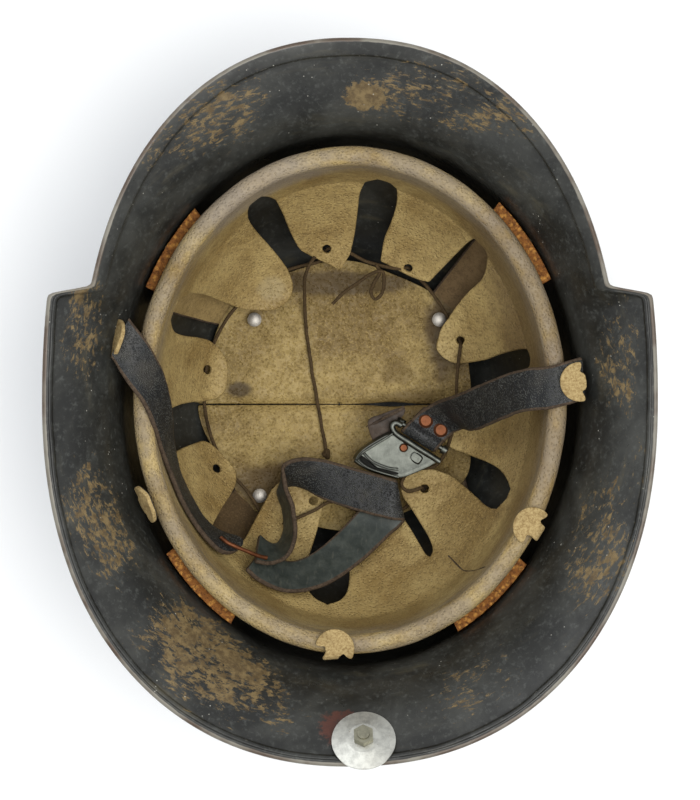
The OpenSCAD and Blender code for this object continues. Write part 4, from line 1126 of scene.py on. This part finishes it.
def build_buttons():
    rear_buttons = (("rear", 266, 0, -18), ("rear_left", 207, 68, 0), ("rear_right", 325, 0, -8))
    for name, t, raised, turn in rear_buttons:
        a, f, k = math.radians(t), math.radians(raised), math.radians(turn)
        r = oval(LINER_A, LINER_B, 2, a) - ROLL_R

        def place(p, a=a, f=f, k=k, r=r):
            x = (p[0] + 5) * math.cos(k) - p[1] * math.sin(k) - 5
            y = (p[0] + 5) * math.sin(k) + p[1] * math.cos(k)
            dx, dz = x + 6.2, p[2] + 3.1
            out = r + 5.6 - dx * math.cos(f) + dz * math.sin(f)
            return (out * math.cos(a) + y * math.sin(a), out * math.sin(a) - y * math.cos(a),
                    LINER_Z - 1.6 + dx * math.sin(f) + dz * math.cos(f))

        build_button("button_" + name + "_suede", name + "_button", place, "button_" + name)
        rows = [(*place((x, 0, z)), t - 90 - turn * 0.5, 0)
                for x, z in ((-2.5, 0), (-5, -0.2), (-6.3, -1.4), (-6.5, -2.9), (-6.4, -3.8))]
        neck = ribbon("button_" + name + "_neck", rows, 7.2, 1.8, 14, [SUEDE, SUEDE, SUEDE], wave=0.1)
        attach(neck, name + "_button")
    for name, at, turn, tilt, route in (
            ("right", (92.6, 7.1, 126.8), 187, 0,
             [(94.1, 7.2, 106, 90, 0), (94.1, 7.2, 116, 90, 0), (93.8, 7.2, 120, 90, 0),
              (92.9, 7.1, 123, 90, 0), (92.6, 7.1, 126.4, 90, 0)]),
            ("left", (-98.2, 25.8, 128.4), -12, -68,
             [(-92.4, 26, 106, 78, 0), (-92.6, 26, 116, 78, 0), (-94, 26, 120.5, 78, 0),
              (-96.2, 26, 123.6, 78, 0), (-98, 25.8, 126.5, 78, 0)])):
        a, b = math.radians(turn), math.radians(tilt)

        def place(p, at=at, a=a, b=b):
            x, y, z = p[0] - 3, p[1], p[2]
            x, z = x * math.cos(b) + z * math.sin(b), -x * math.sin(b) + z * math.cos(b)
            return (at[0] + x * math.cos(a) - y * math.sin(a),
                    at[1] + x * math.sin(a) + y * math.cos(a), at[2] + z)

        build_button("button_" + name + "_suede", "root", place, "button_" + name)
        tongue = ribbon("button_" + name + "_tongue", route, 6, 1.9, 30, [SUEDE, SUEDE, SUEDE], wave=0.1)
        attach(tongue, "root")


# ---------------------------------------------------------------- chin strap
def fold_row(back, up):
    h, s = math.radians(225.6), 148.1
    return (33 - back * math.cos(h), -16.5 - back * math.sin(h), 41 + up, s, 0)


RIGHT_ROWS = [
    (99.5, 9.2, 121.6, 94, 0), (96.5, 8.4, 123.2, 94, 0), (92, 7, 123.9, 93, 0), (85.5, 5.4, 123.3, 92, 0),
    (82.5, 5, 121.6, 92, 0), (77, 4.5, 117, 92, 0), (71, 3, 109, 95, 0), (65, 0.5, 99, 100, 0),
    (59, -2.2, 87, 107, 0), (53.5, -4.8, 74, 116, 0), (49, -6.3, 61, 126, 0), (45.5, -6.8, 50, 138, 0),
    (42.6, -8.2, 45.4, 144, 0), fold_row(9, 1.6), fold_row(3, 1.2)]
FOLD = 1.2 + 0.3 + 1.1
FOLD_ROWS = [fold_row(3, 1.2), fold_row(1.3, FOLD - 0.2)]
FOLD_ROWS += [fold_row(-FOLD * math.cos(a), FOLD * math.sin(a))
              for a in np.radians([90, 54, 18, -18, -54, -90])]
FOLD_ROWS += [fold_row(1.3, 0.2 - FOLD), fold_row(3, -1.2), fold_row(12.5, -1.2)]
LEFT_ROWS = [
    (-98, 27, 127.2, 245, 0), (-95.6, 23.4, 127.2, 243, 2), (-90, 15, 126.2, 234, 18),
    (-84, 4, 120.6, 230, 42), (-80.8, -8, 112.5, 222, 60), (-79.4, -20, 104, 212, 74),
    (-75.7, -33.7, 96, 206, 82), (-70.6, -45.9, 89.5, 213, 80), (-64.3, -55.9, 84.5, 221, 78),
    (-56.6, -62.4, 79.5, 228, 66), (-48.5, -65.5, 75, 236, 50)]
LOOP_ROWS = [
    (-41.5, -66, 70.5, 262, 50), (-35.5, -68.5, 66, 290, 60), (-30, -67, 60, 320, 68),
    (-27, -60, 53.5, 350, 72), (-28, -49, 48, 370, 74), (-31, -40, 45.5, 410, 72),
    (-29, -34.5, 43.5, 465, 58), (-22, -33.5, 42.5, 460, 38), (-12, -36, 43, 445, 14), (0, -39.8, 44, 438, 4),
    (11, -43, 45.5, 435, 0), (19, -45, 46.5, 446, 0), (22.3, -46.1, 44.7, 462, 0), (19, -49, 43, 476, -6),
    (13, -54, 43, 492, -12), (5, -61.8, 47, 494, -18), (-5, -70.5, 54.5, 488, -28),
    (-16, -77, 61.5, 473, -38), (-27, -79, 67, 446, -45), (-37, -75.5, 71, 422, -50),
    (-42.5, -70.5, 73.5, 410, -52)]
WIRE_ROUTE = [
    (-57, -60.5, 83), (-54, -62.8, 84), (-50, -64.8, 83), (-45, -67, 80.5),
    (-40.5, -69, 77.5), (-37, -70, 75)]


def build_straps():
    leather = [GRAIN, BACK, EDGE]
    right = ribbon("chin_strap_right_leather", RIGHT_ROWS, 18.5, 2.2, 190, leather, grain=-1)
    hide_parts("strap_end_right", "chin_strap_right")
    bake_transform(right)
    fold = ribbon("chin_strap_right_fold", FOLD_ROWS, 18.5, 2.2, 60, leather, grain=-1, wave=0.05)
    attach(fold, "right_strap")
    left = ribbon("chin_strap_left_leather", LEFT_ROWS, 18.5, 2.2, 190, leather, grain=-1,
                  end_round=(False, True))
    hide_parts("strap_end_left", "chin_strap_left")
    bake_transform(left)
    loop = ribbon("chin_strap_loop_leather", LOOP_ROWS, 18.5, 2.2, 260, leather)
    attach(loop, "left_strap")
    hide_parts("chin_strap_loop")
    wire, _ = lace("wire_slide_copper", WIRE_ROUTE, 1.8, COPPER, 40, wobble=0.05)
    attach(wire, "left_strap")
    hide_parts("wire_slide")


def clasp_at(x, y, z):
    """A point of the clasp's own frame: X along the pin, Y out over the plate."""
    a = math.radians(-31.9)
    return (33 + x * math.cos(a) + y * math.sin(a), -16.5 + x * math.sin(a) - y * math.cos(a), 41 + z)


def slab(name, outline, low, high, material, crown=0.0):
    """A sheet piece in the clasp's frame, with its rim rounded."""
    shape = spline(outline, 72, closed=True)
    centre = shape.mean(axis=0)
    points, n = [], len(shape)
    for q, z in ((0.97, low), (1.0, low + 0.25), (1.0, high - 0.25), (0.97, high), (0.8, high - crown),
                 (0.5, high - crown)):
        points += [clasp_at(*(centre + (p - centre) * q), z) for p in shape]
    points += [clasp_at(*centre, high - crown), clasp_at(*centre, low)]
    faces = grid(6, n, closed=True)
    faces += [(5 * n + k, 5 * n + (k + 1) % n, 6 * n) for k in range(n)]
    faces += [((k + 1) % n, k, 6 * n + 1) for k in range(n)]
    return make(name, points, faces, [material])


def build_clasp():
    plate = slab("clasp_plate_zinc", [
        (-11, 4.8), (0, 4.8), (11, 5), (11.5, 7.4), (6, 16), (0.5, 22), (-9, 24.6), (-19.6, 26.2), (-21, 22),
        (-17.5, 14), (-14.5, 8.5)], -0.6, 0.5, ZINC, 0.35)
    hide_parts("clasp_plate")
    pieces = [plate]
    # the upturned edges round the mouth
    for name, run, width, lean in (
            ("side", [(-12.2, 5.5, 1.9), (-15, 9, 2.2), (-18.2, 15, 2.4), (-20.6, 21, 2.2),
                      (-20.9, 25.4, 1.5)], 3.8, 70),
            ("lip", [(-20.6, 25.8, 1.2), (-14, 25.9, 1.5), (-7, 24.4, 1.6), (0.6, 22, 1.1)], 2.4, 70)):
        path = [clasp_at(*p) for p in run]
        rows = []
        for k, p in enumerate(path):
            q = path[min(k + 1, len(path) - 1)]
            o = path[max(k - 1, 0)]
            heading = math.degrees(math.atan2(q[1] - o[1], q[0] - o[0]))
            rows.append((*p, heading + 90, lean))
        for k in range(1, len(rows)):
            turn = (rows[k][3] - rows[k - 1][3] + 180) % 360 - 180
            rows[k] = (*rows[k][:3], rows[k - 1][3] + turn, lean)
        pieces.append(ribbon("clasp_" + name, rows, width, 0.8, 40, [ZINC, ZINC, ZINC], wave=0.1))
    for name, run, thick in (
            ("bar", [(12.8, 5.7, 1.2), (6, 5.6, 1.3), (-4, 5.6, 1.3), (-11.4, 5.2, 1.4), (-14.2, 3.4, 1.6),
                     (-13.6, 1.2, 1.8), (-10.6, 0.9, 1.8)], 2.9),
            ("side_rim", [(-12.4, 6.4, 3.8), (-14, 10, 4.3), (-16.9, 15.6, 4.5), (-19.3, 21, 4.1),
                          (-19.8, 24.6, 3)], 1.1),
            ("inner_lip", [(-19.4, 20.4, 1.6), (-13.5, 21.8, 1.9), (-6, 20.6, 1.7), (-1.5, 18.6, 1)], 1.2),
            ("lip_rim", [(-20.8, 24.4, 2.2), (-14, 25.3, 2.6), (-7, 23.8, 2.6), (0.6, 21.6, 1.8)], 1),
            ("knuckle_a", [(-12.6, 0, 0), (-11.6, 0, 0), (-10.6, 0, 0)], 4.2),
            ("knuckle_b", [(10.6, 0, 0), (11.6, 0, 0), (12.6, 0, 0)], 4.2)):
        pieces.append(lace("clasp_" + name, [clasp_at(*p) for p in run], thick, ZINC, 40, wobble=0.1)[0])
    # near-black sheets in the mouth's slot and round the tab: painted shade in the clasp's gaps
    slot = slab("clasp_slot_shade", [(-18.6, 22), (-12, 23.2), (-5.6, 21.9), (-1, 20), (-0.6, 21), (-6, 23.4),
                               (-13, 24.8), (-19, 24)], 0.3, 0.75, SHADE_BLACK)
    tab = slab("clasp_tab", [(0.5, 8.2), (4.9, 8.4), (5.2, 10.6), (4.4, 11.8), (0.6, 11.4)], 0.3, 1.2, ZINC)
    tab_shadow = slab("clasp_tab_shadow", [(1.5, 8), (5.2, 8.1), (5.6, 10.9), (4.6, 12.2), (1.4, 11.7)],
                   0.2, 0.55, SHADE_BLACK)
    for piece in pieces + [slot, tab, tab_shadow]:
        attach(piece, "clasp")
    backing = slab("clasp_backing_leather", [
        (-1.5, 6), (-1.5, 11), (-6, 14), (-13, 16.5), (-24.5, 8), (-21, 1), (-14.5, -6.5), (-12.4, -4),
        (-13.6, 3), (-10, 5.4)], -2.5, -0.9, DARK_BROWN, 0.3)
    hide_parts("clasp_backing")
    fold = [clasp_at(*p) for p in ((-15.2, -5.2, -1.2), (-17.2, -1, -0.6), (-20.2, 4, -0.5), (-23, 8, -1.2))]
    rows = [(*p, 30, 12) for p in fold]
    flap = ribbon("clasp_backing_flap", rows, 5.5, 1.4, 30, [DARK_BROWN, DARK_BROWN, EDGE], wave=0.5)
    for piece in (backing, flap):
        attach(piece, "clasp")


def finish_cad_nodes():
    """Materials of the CAD solids that stay."""
    looks = {
        "neck_bolt": IRON, "neck_nut": IRON, "neck_washer": BRIGHT, "liner_band": BROWN, "liner_rivets": IRON,
        "crown_rivets": SILVER, "strap_rivets": COPPER, "clasp_pin": ZINC, "clasp_rivet": COPPER}
    for name, material in looks.items():
        piece = nodes[name]
        piece.data.materials.clear()
        piece.data.materials.append(material)


build_shell()
build_sweatband()
build_butt_seam()
build_pad(True)
build_pad(False)
build_suspension()
build_corks()
build_buttons()
build_straps()
build_clasp()
finish_cad_nodes()

world = bpy.data.worlds.new("studio")
world.use_nodes = True
world.node_tree.nodes["Background"].inputs["Color"].default_value = (0.95, 0.965, 0.98, 1)
world.node_tree.nodes["Background"].inputs["Strength"].default_value = 0.85
bpy.context.scene.world = world
bpy.context.scene.view_settings.view_transform = "Standard"
add_light("key", (0.4, -0.2, 1.6), 1.1, 19, (1, 0.98, 0.94))
add_light("fill", (-0.7, 0.6, 1.3), 1.4, 6, (0.95, 0.97, 1))
add_floor()
